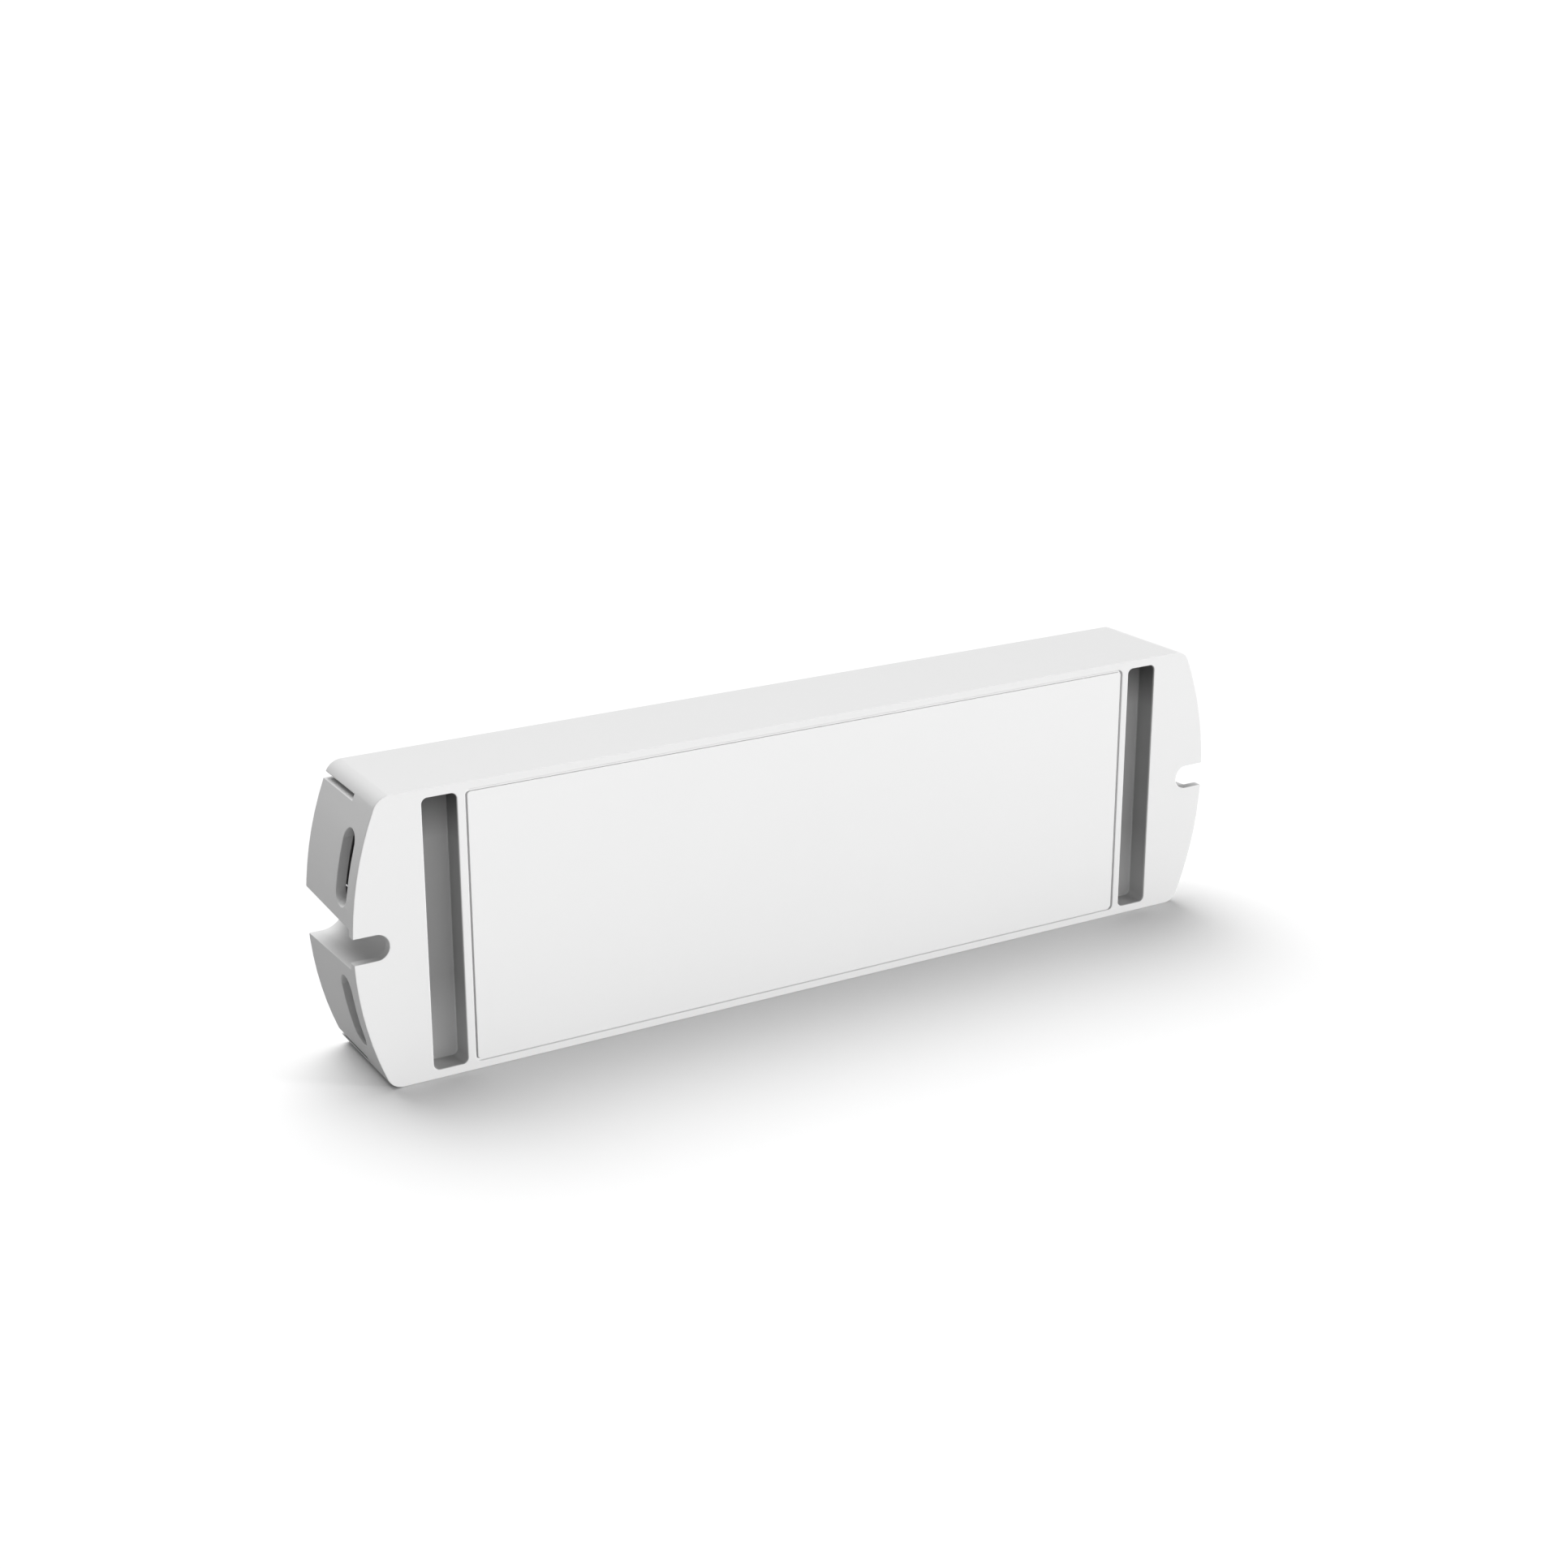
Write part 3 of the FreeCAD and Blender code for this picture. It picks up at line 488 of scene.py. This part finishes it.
def make_pocket_group():
    """Group that paints shade into a tone inside the pockets, by shares for walls, floors, the foot and
    the top.
    """
    group, given, made = start_group("painted_pocket_shade", {
        "Tone": PALE,
        "Wall Share": 1.0,
        "Floor Share": 1.0,
        "Foot Gain": 1.0,
        "Top Share": 1.0,
    }, {
        "Color": "NodeSocketColor",
    })
    place = group.nodes.new("ShaderNodeTexCoord").outputs["Object"]
    split = group.nodes.new("ShaderNodeSeparateXYZ")
    feed(group, place, split.inputs[0])
    across = reckon(group, "ABSOLUTE", split.outputs["X"])
    depth, height = split.outputs["Y"], split.outputs["Z"]
    limits = (
        (depth, POCKET_FLOOR_Y, 1),
        (across, POCKET_NEAR_X, -1),
        (across, POCKET_FAR_X, 1),
        (height, POCKET_LOW_Z, -1),
        (height, POCKET_HIGH_Z, 1),
    )
    inside = fade(group, depth, FACE_Y + POCKET_EDGE / 2, FACE_Y + POCKET_EDGE, 0.0, 1.0)
    for value, limit, way in limits:
        within = fade(group, value, limit + way * POCKET_EDGE, limit + way * 2 * POCKET_EDGE, 1.0, 0.0)
        inside = reckon(group, "MULTIPLY", inside, within)
    # Painted shade: the walls keep less of the tone than the floors, the foot is lifted and the top is
    # darkest.
    share = fade(group, depth, POCKET_FLOOR_Y - POCKET_EDGE, POCKET_FLOOR_Y,
                 given["Wall Share"], given["Floor Share"])
    foot = fade(group, height, *FOOT, given["Foot Gain"], 1.0)
    top = fade(group, height, *TOP, 1.0, given["Top Share"])
    dimmed = reckon(group, "MULTIPLY", share, reckon(group, "MULTIPLY", foot, top))
    kept = fade(group, inside, 0.0, 1.0, 1.0, dimmed)
    feed(group, scale_tone(group, given["Tone"], kept), made["Color"])
    return group


painted_shade_group = make_pocket_group()
print("pocket group sockets:", len(painted_shade_group.interface.items_tree))

# %% [markdown]
# ## Copper under the solder mask
#
# Copper tracks are etched into the board and lie under a thin green mask, so they show as paler, slightly
# raised bands that run straight or at 45 degrees. Modelling each track would take thousands of faces.
# Cells measured along the two axes have such borders, so a group takes the tracks from them.

# %% Build the track group
MASK_GREEN = (0.02, 0.13, 0.05)
TRACK_GREEN = (0.03, 0.19, 0.075)
TRACK_CELLS = 260.0
TRACK_WIDTH = 0.045
ALONG_BOARD = (1.0, 0.0, 1.0)


def make_track_group():
    """Group that puts out a colour and a height for tracks, from a mask colour and a track colour."""
    group, given, made = start_group("copper_tracks", {
        "Mask": (*MASK_GREEN, 1.0),
        "Track": (*TRACK_GREEN, 1.0),
        "Scale": TRACK_CELLS,
        "Width": TRACK_WIDTH,
    }, {
        "Color": "NodeSocketColor",
        "Height": "NodeSocketFloat",
    })
    flat = group.nodes.new("ShaderNodeVectorMath")
    flat.operation = "MULTIPLY"
    feed(group, group.nodes.new("ShaderNodeTexCoord").outputs["Object"], flat.inputs[0])
    feed(group, ALONG_BOARD, flat.inputs[1])
    distances = []
    for feature in ("F2", "F1"):
        cells = group.nodes.new("ShaderNodeTexVoronoi")
        cells.feature = feature
        cells.distance = "CHEBYCHEV"
        feed(group, flat.outputs[0], cells.inputs["Vector"])
        feed(group, given["Scale"], cells.inputs["Scale"])
        distances.append(cells.outputs["Distance"])
    border = reckon(group, "SUBTRACT", *distances)
    track = reckon(group, "LESS_THAN", border, given["Width"])
    mix = group.nodes.new("ShaderNodeMix")
    mix.data_type = "RGBA"
    feed(group, track, mix.inputs["Factor"])
    feed(group, given["Mask"], mix.inputs["A"])
    feed(group, given["Track"], mix.inputs["B"])
    feed(group, mix.outputs["Result"], made["Color"])
    feed(group, track, made["Height"])
    return group


track_group = make_track_group()
print("track group sockets:", len(track_group.interface.items_tree))

# %% [markdown]
# ## The finishes
#
# Each finish is a Principled shader with the grain group in front of it. The values that stay the same
# all over a surface, such as how metallic it is, sit on the shader itself. A row below gives a name, a
# base colour, the roughness, how fine the grain is and how deep.

# %% Make the finishes
WHITE = (0.635, 0.635, 0.635)
MATT = 0.12


def place_group(tree, group, values):
    """Place a group in a material, with the material's own values."""
    node = tree.nodes.new("ShaderNodeGroup")
    node.node_tree = group
    for label, value in values.items():
        feed(tree, value, node.inputs[label])
    return node


def finish(name, base, rough, scale, depth, drift=0.02, metallic=0.0, specular=0.5):
    """Material with the shared grain, from a base colour and the size and depth of its grain."""
    material = bpy.data.materials.new(name)
    material.use_nodes = True
    tree = material.node_tree
    shader = tree.nodes["Principled BSDF"]
    grain = place_group(tree, grain_group, {
        "Base": (*base, 1.0),
        "Grain Scale": scale,
        "Grain Depth": depth,
        "Tone Drift": drift,
        "Rough": rough,
        "Rough Drift": ROUGH_DRIFT,
    })
    grain.name = "grain"
    feed(tree, grain.outputs["Color"], shader.inputs["Base Color"])
    feed(tree, grain.outputs["Roughness"], shader.inputs["Roughness"])
    feed(tree, grain.outputs["Normal"], shader.inputs["Normal"])
    feed(tree, metallic, shader.inputs["Metallic"])
    feed(tree, specular, shader.inputs["Specular IOR Level"])
    return material


finishes = {
    "case_plastic": finish("white_case_plastic", WHITE, 0.62, 5200.0, 0.12, specular=MATT),
    "label_film": finish("white_label_film", (0.65, 0.65, 0.65), 0.5, 9000.0, 0.05, specular=MATT),
    "screw_steel": finish("zinc_plated_steel", (0.62, 0.62, 0.6), 0.32, 3000.0, 0.1, metallic=1.0),
    "board_green": finish("green_solder_mask", MASK_GREEN, 0.3, 2500.0, 0.06, drift=0.2),
    "terminal_plastic": finish("green_terminal_plastic", (0.03, 0.22, 0.07), 0.45, 4500.0, 0.1),
    "contact_metal": finish("tinned_contact_metal", (0.75, 0.75, 0.73), 0.3, 2500.0, 0.1, metallic=1.0),
    "can_aluminium": finish("drawn_aluminium_can", (0.62, 0.63, 0.65), 0.38, 2000.0, 0.06, metallic=1.0),
    "chip_black": finish("black_moulding_compound", (0.018, 0.018, 0.02), 0.5, 6000.0, 0.25, drift=0.3),
    "ferrite": finish("ground_ferrite", (0.06, 0.06, 0.063), 0.6, 3500.0, 0.3, drift=0.2),
    "ceramic": finish("pale_ceramic", (0.62, 0.56, 0.45), 0.5, 3500.0, 0.15),
    "lens": finish("clear_lens", (0.5, 0.75, 0.45), 0.15, 1500.0, 0.02),
}
print("finishes:", len(finishes))

# %% Paint shade into the pockets and lay the tracks
# Shares of the tone that the painted shade keeps in the pockets
PAINTED_SHADE_SHARES = {
    "Wall Share": 0.47,
    "Floor Share": 0.95,
    "Foot Gain": 1.45,
    "Top Share": 0.45,
}
TRACK_HEIGHT = 0.035 * MM


def add_pocket_shade(material):
    """Put the group of painted pocket shade between the grain and the base colour of a material."""
    tree = material.node_tree
    shade = place_group(tree, painted_shade_group, PAINTED_SHADE_SHARES)
    feed(tree, tree.nodes["grain"].outputs["Color"], shade.inputs["Tone"])
    feed(tree, shade.outputs["Color"], tree.nodes["Principled BSDF"].inputs["Base Color"])


def add_tracks(material):
    """Feed the tracks into the tone of the grain group, and raise them a little."""
    tree = material.node_tree
    grain = tree.nodes["grain"]
    tracks = place_group(tree, track_group, {})
    feed(tree, tracks.outputs["Color"], grain.inputs["Base"])
    raised = tree.nodes.new("ShaderNodeBump")
    feed(tree, TRACK_HEIGHT, raised.inputs["Distance"])
    feed(tree, tracks.outputs["Height"], raised.inputs["Height"])
    feed(tree, grain.outputs["Normal"], raised.inputs["Normal"])
    feed(tree, raised.outputs["Normal"], tree.nodes["Principled BSDF"].inputs["Normal"])


# Paint shade into the pockets of the case plastic
add_pocket_shade(finishes["case_plastic"])
add_tracks(finishes["board_green"])
print("nodes of the case plastic:", len(finishes["case_plastic"].node_tree.nodes))

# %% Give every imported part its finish


def give_finish(piece, slot):
    """Cover a whole piece with one finish."""
    piece.data.materials.clear()
    piece.data.materials.append(finishes[slot])


for name, part in nodes.items():
    give_finish(part, slots[name])
print("parts with a finish:", len(slots))

# %% [markdown]
# ## The moulded case and its covers
#
# A mould can't have a knife edge, so every rim of a moulded case is a little round, and the light line
# along it is what makes it look like plastic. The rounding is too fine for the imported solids, so each
# moulded part is copied, its triangles are merged, and a bevel runs round all its sharp edges.

# %% Soften the case, the covers and the label
CASE_SOFTNESS = {
    "housing_tub": 0.2 * MM,
    "centre_cover": 0.2 * MM,
    "wiring_cover_left": 0.2 * MM,
    "wiring_cover_right": 0.2 * MM,
    "face_label": 0.08 * MM,
}


def soft_copy(name, softness):
    """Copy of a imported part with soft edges, which takes the place of that part."""
    piece = copy_of(name, name + "_soft")
    before = count(piece)
    soften(piece, softness)
    stand_for(piece, name)
    print(piece.name, "faces", before, "to", count(piece))
    return piece


for name, softness in CASE_SOFTNESS.items():
    soft_copy(name, softness)

# %% [markdown]
# ## The screws
#
# The cover screws are thread-forming screws with a low round head and a cross recess. The head is pressed
# from wire and the thread is rolled between two dies. A screw could be revolved from one outline, but its
# recess and thread aren't round. So here the head is a disc with a bevelled rim, a cross that grows out
# of a small block cuts the recess, and a triangle wound up along the axis is the thread. One screw of
# each length is made at the origin, pointing up, and its copies are turned into their places.

# %% Make a cross that cuts
CROSS_ARM = 1.15 * MM
CROSS_WIDTH = 0.46 * MM
CROSS_DEPTH = 0.75 * MM
CROSS_TAPER = 0.6
FACING = 0.5


def faces_where(piece, test):
    """Select, in edit mode, the faces whose middle and normal pass a test."""
    bpy.ops.mesh.select_mode(type="FACE")
    bpy.ops.mesh.select_all(action="DESELECT")
    bpy.ops.object.mode_set(mode="OBJECT")
    for face in piece.data.polygons:
        face.select = test(face.center, face.normal)
    bpy.ops.object.mode_set(mode="EDIT")


def narrow(share):
    """Draw what is selected in towards the upright axis."""
    bpy.ops.transform.resize(value=(share, share, 1.0), center_override=(0.0, 0.0, 0.0))


def make_cross(arm, width, depth):
    """Cross round the origin: a small block whose four sides are pulled out, narrower at the bottom."""
    bpy.ops.mesh.primitive_cube_add(size=width)
    cross = bpy.context.object
    cross.scale.z = 2 * depth / width
    settle(cross)
    bpy.ops.object.mode_set(mode="EDIT")
    faces_where(cross, lambda middle, normal: abs(normal.z) < FACING)
    bpy.ops.mesh.extrude_faces_move(TRANSFORM_OT_shrink_fatten={"value": arm - width / 2})
    faces_where(cross, lambda middle, normal: normal.z < -FACING)
    narrow(CROSS_TAPER)
    bpy.ops.object.mode_set(mode="OBJECT")
    return cross


def cut_away(piece, cutter):
    """Cut one object out of another, and throw the cutter away."""
    cut = piece.modifiers.new("cut", "BOOLEAN")
    cut.operation = "DIFFERENCE"
    cut.object = cutter
    apply_all(piece)
    bpy.data.objects.remove(cutter)


cross = make_cross(CROSS_ARM, CROSS_WIDTH, CROSS_DEPTH)
print("faces of the cross:", count(cross))

# %% Make a head with a round rim
HEAD_RADIUS = 2.1 * MM
HEAD_HEIGHT = 1.2 * MM
HEAD_ROUND = 0.45 * MM
HEAD_SIDES = 40
RIM_STEPS = 4


def round_rim(piece, width, test):
    """Round the rim of the faces that pass a test."""
    bpy.ops.object.mode_set(mode="EDIT")
    faces_where(piece, test)
    bpy.ops.mesh.region_to_loop()
    bpy.ops.mesh.bevel(offset=width, segments=RIM_STEPS)
    bpy.ops.object.mode_set(mode="OBJECT")


def round_head(radius, height, rim, sides):
    """Disc that stands on the origin, with its top rim rounded."""
    bpy.ops.mesh.primitive_cylinder_add(vertices=sides, radius=radius, depth=height,
                                        location=(0, 0, height / 2))
    head = bpy.context.object
    settle(head)
    round_rim(head, rim, lambda middle, normal: normal.z > FACING)
    return head


head = round_head(HEAD_RADIUS, HEAD_HEIGHT, HEAD_ROUND, HEAD_SIDES)
cross.location.z = HEAD_HEIGHT
settle(cross)
cut_away(head, cross)
print("faces of the head:", count(head))

# %% Make a shank with a blunt tip
CORE_RADIUS = 0.84 * MM
CORE_SIDES = 20
TIP = 0.9 * MM
TIP_TAPER = 0.45
ROOT = 0.2 * MM


def make_shank(length):
    """Core of a screw: a rod that starts inside the head and whose lower end is drawn out."""
    bpy.ops.mesh.primitive_cylinder_add(vertices=CORE_SIDES, radius=CORE_RADIUS,
                                        depth=length - TIP + ROOT,
                                        location=(0, 0, (TIP - length + ROOT) / 2))
    shank = bpy.context.object
    settle(shank)
    bpy.ops.object.mode_set(mode="EDIT")
    faces_where(shank, lambda middle, normal: normal.z < -FACING)
    bpy.ops.mesh.extrude_region_move(TRANSFORM_OT_translate={"value": (0, 0, -TIP)})
    narrow(TIP_TAPER)
    bpy.ops.object.mode_set(mode="OBJECT")
    return shank


print("core of a screw in mm:", round(2 * CORE_RADIUS / MM, 2))

# %% Wind a thread
THREAD_RADIUS = 1.08 * MM
THREAD_PITCH = 0.8 * MM
THREAD_SIZE = 0.24 * MM
THREAD_TOP = 0.5 * MM
THREAD_STEPS = 14
PLAIN = 1.6 * MM


def make_thread(length):
    """Triangle wound along the axis, with both ends closed."""
    turns = int((length - PLAIN) / THREAD_PITCH)
    bpy.ops.mesh.primitive_circle_add(vertices=3, radius=THREAD_SIZE, fill_type="NOTHING")
    thread = bpy.context.object
    thread.rotation_euler = (math.pi / 2, math.pi / 2, 0)
    thread.location = (THREAD_RADIUS - THREAD_SIZE, 0, -THREAD_TOP - turns * THREAD_PITCH)
    settle(thread)
    wind = thread.modifiers.new("wind", "SCREW")
    wind.axis = "Z"
    wind.steps = THREAD_STEPS
    wind.render_steps = THREAD_STEPS
    wind.screw_offset = THREAD_PITCH
    wind.iterations = turns
    apply_all(thread)
    bpy.ops.object.mode_set(mode="EDIT")
    bpy.ops.mesh.select_all(action="SELECT")
    bpy.ops.mesh.fill_holes(sides=3)
    bpy.ops.mesh.normals_make_consistent(inside=False)
    bpy.ops.object.mode_set(mode="OBJECT")
    return thread


print("thread in mm:", round(2 * THREAD_RADIUS / MM, 2), "pitch:", round(THREAD_PITCH / MM, 2))

# %% Put the screws together
COVER_SHANK = 5.8 * MM
BOARD_SHANK = 5.7 * MM


def make_screw(length, name):
    """Screw at the origin, head up, with the seat of its head at height zero."""
    only(head)
    bpy.ops.object.duplicate()
    top = bpy.context.object
    screw = merge_all([make_thread(length), make_shank(length), top], name)
    bpy.ops.object.shade_smooth_by_angle(angle=CREASE)
    return screw


cover_screw = make_screw(COVER_SHANK, "cover_screw")
board_screw = make_screw(BOARD_SHANK, "board_screw")
bpy.data.objects.remove(head)
print("faces of the two screws:", count(cover_screw), count(board_screw))

# %% [markdown]
# ## Screws on their seats
#
# Four screws hold the wiring covers and two hold the board. They could share one mesh, but a finished
# piece keeps its place in its own mesh. So each is a copy that is first turned about its axis, since no
# two screws stop at the same angle, and then laid over and moved. All places here are in millimetres.

# %% Set the screws on their seats
COVER_PLACES = [(-76.0, 45.4), (-76.0, 4.6), (76.0, 45.4), (76.0, 4.6)]
COVER_SEAT = 9.55
COVER_TURN = 37
BOARD_PLACES = [(42.0, 42.5), (-42.0, 7.5)]
BOARD_SEAT = -0.65
BOARD_TURN = 61


def seat_copies(master, node, places, seat_y, turn_step):
    """Turn copies of a piece to the back of the case, and set each on its seat as part of a node."""
    pieces = [master]
    for _ in places[1:]:
        only(master)
        bpy.ops.object.duplicate()
        pieces.append(bpy.context.object)
    stem = master.name
    for number, (piece, (x, z)) in enumerate(zip(pieces, places), 1):
        piece.name = f"{stem}_{number}"
        piece.rotation_euler.z = math.radians(turn_step * number)
        settle(piece)
        piece.rotation_euler.x = -math.pi / 2
        piece.location = (x * MM, seat_y * MM, z * MM)
        settle(piece)
        give_finish(piece, slots[node])
        stand_for(piece, node)
    return pieces


cover_screws = seat_copies(cover_screw, "cover_screws", COVER_PLACES, COVER_SEAT, COVER_TURN)
board_screws = seat_copies(board_screw, "board_screws", BOARD_PLACES, BOARD_SEAT, BOARD_TURN)
print("screws:", len(cover_screws) + len(board_screws))

# %% [markdown]
# ## The terminal screws
#
# Each pole of a terminal block has a slotted screw that presses its cage on the wire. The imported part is
# a prism with few sides, since thirteen round ones would use up the facets of the whole model. A round
# head with a slot is one disc and one cut, and a driver never leaves two slots in the same direction.

# %% Make and seat the terminal screws
SLOT_HEAD_RADIUS = 1.5 * MM
SLOT_HEAD_HEIGHT = 1.6 * MM
SLOT_HEAD_ROUND = 0.2 * MM
SLOT_HEAD_SIDES = 24
SLOT_WIDTH = 0.5 * MM
SLOT_DEPTH = 0.6 * MM
TERMINAL_X = 57.4
TERMINAL_SEAT = 5.05
TERMINAL_TURN = 47
POLES = {
    -1: (33.4, 38.4, 43.4, 6.6, 11.6, 16.6),
    1: (23.4, 28.4, 33.4, 38.4, 43.4, 6.6, 11.6),
}


def make_slotted_head():
    """Round head with one straight slot, at the origin."""
    slotted = round_head(SLOT_HEAD_RADIUS, SLOT_HEAD_HEIGHT, SLOT_HEAD_ROUND, SLOT_HEAD_SIDES)
    bpy.ops.mesh.primitive_cube_add(size=1.0, location=(0, 0, SLOT_HEAD_HEIGHT))
    slot = bpy.context.object
    slot.scale = (3 * SLOT_HEAD_RADIUS, SLOT_WIDTH, 2 * SLOT_DEPTH)
    settle(slot)
    cut_away(slotted, slot)
    slotted.name = "terminal_screw"
    only(slotted)
    bpy.ops.object.shade_smooth_by_angle(angle=CREASE)
    return slotted


pole_places = [(side * TERMINAL_X, z) for side, heights in POLES.items() for z in heights]
terminal_screws = seat_copies(make_slotted_head(), "terminal_screws", pole_places, TERMINAL_SEAT,
                              TERMINAL_TURN)
print("terminal screws:", len(terminal_screws), "faces each:", count(terminal_screws[0]))

# %% [markdown]
# ## The parts on the board
#
# Chips, transistors and resistors are moulded bodies on tinned metal, and only the metal shines. Legs
# could be new pieces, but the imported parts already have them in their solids. So each part is copied
# with soft edges, and the faces beyond its body get a second finish. A face counts as metal when it is
# further from the middle than the body reaches.

# %% Soften the parts on the board
TERMINALS = ("dmx_input_terminal", "dmx_output_terminal", "led_output_terminal", "power_input_terminal")
OPTOCOUPLERS = ("data_optocoupler_1", "data_optocoupler_2")
TRANSISTORS = tuple(f"output_transistor_{number}" for number in range(1, 5))
INNER_SOFTNESS = {
    "circuit_board": 0.08 * MM,
    **dict.fromkeys(TERMINALS, 0.12 * MM),
    "wire_cages": 0.08 * MM,
    "power_inductor": 0.15 * MM,
    "status_light": 0.06 * MM,
    "input_fuse": 0.05 * MM,
    "input_diode": 0.05 * MM,
    "gate_driver": 0.04 * MM,
    "voltage_regulator": 0.05 * MM,
    "microcontroller": 0.04 * MM,
    "bus_transceiver": 0.04 * MM,
    **dict.fromkeys(OPTOCOUPLERS, 0.04 * MM),
    **dict.fromkeys(TRANSISTORS, 0.06 * MM),
    "chip_resistors": 0.04 * MM,
}
inner = {name: soft_copy(name, softness) for name, softness in INNER_SOFTNESS.items()}

# %% Give legs and tabs their metal
NO_LEGS = 99.0
BODY_REACH = {
    "input_fuse": (2.3, NO_LEGS, 0.0),
    "input_diode": (2.0, NO_LEGS, 0.0),
    "gate_driver": (2.46, 1.96, 0.0),
    "bus_transceiver": (2.46, 1.96, 0.0),
    "voltage_regulator": (3.26, 1.76, 0.0),
    "microcontroller": (3.51, 3.51, 0.0),
    **dict.fromkeys(OPTOCOUPLERS, (2.31, 3.26, 0.0)),
    **dict.fromkeys(TRANSISTORS, (3.26, 3.06, 0.6)),
}


def middle_of(piece):
    """Middle of the box round a piece."""
    corners = [Vector(corner) for corner in piece.bound_box]
    return sum(corners, Vector()) / len(corners)


def second_finish(piece, slot, test):
    """Give the faces of a piece whose middle passes a test another finish."""
    piece.data.materials.append(finishes[slot])
    changed = [face for face in piece.data.polygons if test(face.center)]
    for face in changed:
        face.material_index = len(piece.data.materials) - 1
    return len(changed)


def metal_beyond(piece, reach_x, reach_z, lift):
    """Make metal of what lies beyond a body, from its reach each way and the lift of its middle."""
    middle = middle_of(piece)
    return second_finish(piece, "contact_metal", lambda spot: (
        abs(spot.x - middle.x) > reach_x * MM or abs(spot.z - middle.z - lift * MM) > reach_z * MM))


for name, reach in BODY_REACH.items():
    print(name, "metal faces:", metal_beyond(inner[name], *reach))

# %% Cap the resistors
RESISTOR_MIDDLES = (33.0, 23.6, 14.2, 4.8, -43.0)
RESISTOR_REACH = 1.1
capped = second_finish(inner["chip_resistors"], "contact_metal", lambda spot: (
    min(abs(spot.x - x * MM) for x in RESISTOR_MIDDLES) > RESISTOR_REACH * MM))
print("cap faces:", capped)

# %% [markdown]
# ## The capacitors
#
# A surface-mounted capacitor is a drawn can crimped over a rubber plug on a black plastic foot. Its top
# has a scored vent and a dark mark over the negative side. A can could be spun from an outline, but the
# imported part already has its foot, so a copy of it is cut all round where the crimp is, and the ring
# between is drawn in. One more cut gives the edge that the mark needs.

# %% Finish the capacitors
BOARD_Y = BOARD_SEAT * MM
FOOT_Y = BOARD_Y + 1.4 * MM
CAN_TOP_Y = BOARD_Y + 9.0 * MM
CAN_ROUND = 0.45 * MM
CAN_SOFTNESS = 0.06 * MM
CRIMP = ((2.6, 1.0), (3.0, 0.93), (3.4, 1.0))
MARK_SIDE = 2.0 * MM
VENT_ARM = 2.6 * MM
VENT_WIDTH = 0.2 * MM
VENT_DEPTH = 0.12 * MM
NEAR_TOP = 0.1 * MM
ON_TOP = 0.02 * MM
ON_FOOT = 0.01 * MM


def slice_piece(piece, where, across):
    """Cut new edges all round a piece, where a plane passes through it, and stay in edit mode."""
    only(piece)
    bpy.ops.object.mode_set(mode="EDIT")
    bpy.ops.mesh.select_all(action="SELECT")
    bpy.ops.mesh.bisect(plane_co=where, plane_no=across)


def crimp_can(piece, centre):
    """Cut rings round a can, and draw the middle one in."""
    for height, scale in CRIMP:
        ring_y = BOARD_Y + height * MM
        slice_piece(piece, (0, ring_y, 0), (0, 1, 0))
        bpy.ops.transform.resize(value=(scale, 1.0, scale),
                                 center_override=(centre.x, ring_y, centre.z))
        bpy.ops.object.mode_set(mode="OBJECT")


def score_vent(piece, centre):
    """Cut a shallow cross into the top of a can."""
    vent = make_cross(VENT_ARM, VENT_WIDTH, VENT_DEPTH)
    vent.rotation_euler.x = -math.pi / 2
    vent.location = (centre.x, CAN_TOP_Y, centre.z)
    settle(vent)
    cut_away(piece, vent)


def make_capacitor(node):
    """Can with a crimp near its foot, a dark mark and a scored vent."""
    piece = copy_of(node, node + "_can")
    centre = middle_of(piece)
    crimp_can(piece, centre)
    only(piece)
    round_rim(piece, CAN_ROUND, lambda middle, normal: (
        normal.y > FACING and middle.y > CAN_TOP_Y - NEAR_TOP))
    soften(piece, CAN_SOFTNESS)
    slice_piece(piece, (centre.x + MARK_SIDE, 0, 0), (1, 0, 0))
    bpy.ops.object.mode_set(mode="OBJECT")
    score_vent(piece, centre)
    bpy.ops.object.shade_smooth_by_angle(angle=CREASE)
    second_finish(piece, "chip_black", lambda spot: (
        spot.y < FOOT_Y + ON_FOOT
        or (spot.y > CAN_TOP_Y - ON_TOP and spot.x > centre.x + MARK_SIDE)))
    stand_for(piece, node)
    return piece


for node in ("input_capacitor_1", "input_capacitor_2"):
    print(node, "faces:", count(make_capacitor(node)))

# %% [markdown]
# ## The crystal
#
# The crystal is a low can whose foot is welded shut all round, which leaves a flange. The flange could be
# a plate of its own, but then the two shells would meet in a seam. So a cut all round the copy marks how
# high the flange is, and the side faces below it are pulled out.

# %% Finish the crystal
FLANGE_HEIGHT = 0.5 * MM
FLANGE_REACH = 0.35 * MM
CRYSTAL_SOFTNESS = 0.12 * MM


def make_crystal():
    """Low can with soft edges whose foot is pulled out as a flange."""
    piece = copy_of("clock_crystal", "clock_crystal_can")
    slice_piece(piece, (0, BOARD_Y + FLANGE_HEIGHT, 0), (0, 1, 0))
    faces_where(piece, lambda middle, normal: (
        abs(normal.y) < FACING and middle.y < BOARD_Y + FLANGE_HEIGHT))
    bpy.ops.mesh.extrude_region_shrink_fatten(TRANSFORM_OT_shrink_fatten={"value": FLANGE_REACH})
    bpy.ops.object.mode_set(mode="OBJECT")
    soften(piece, CRYSTAL_SOFTNESS)
    stand_for(piece, "clock_crystal")
    return piece


print("faces of the crystal:", count(make_crystal()))
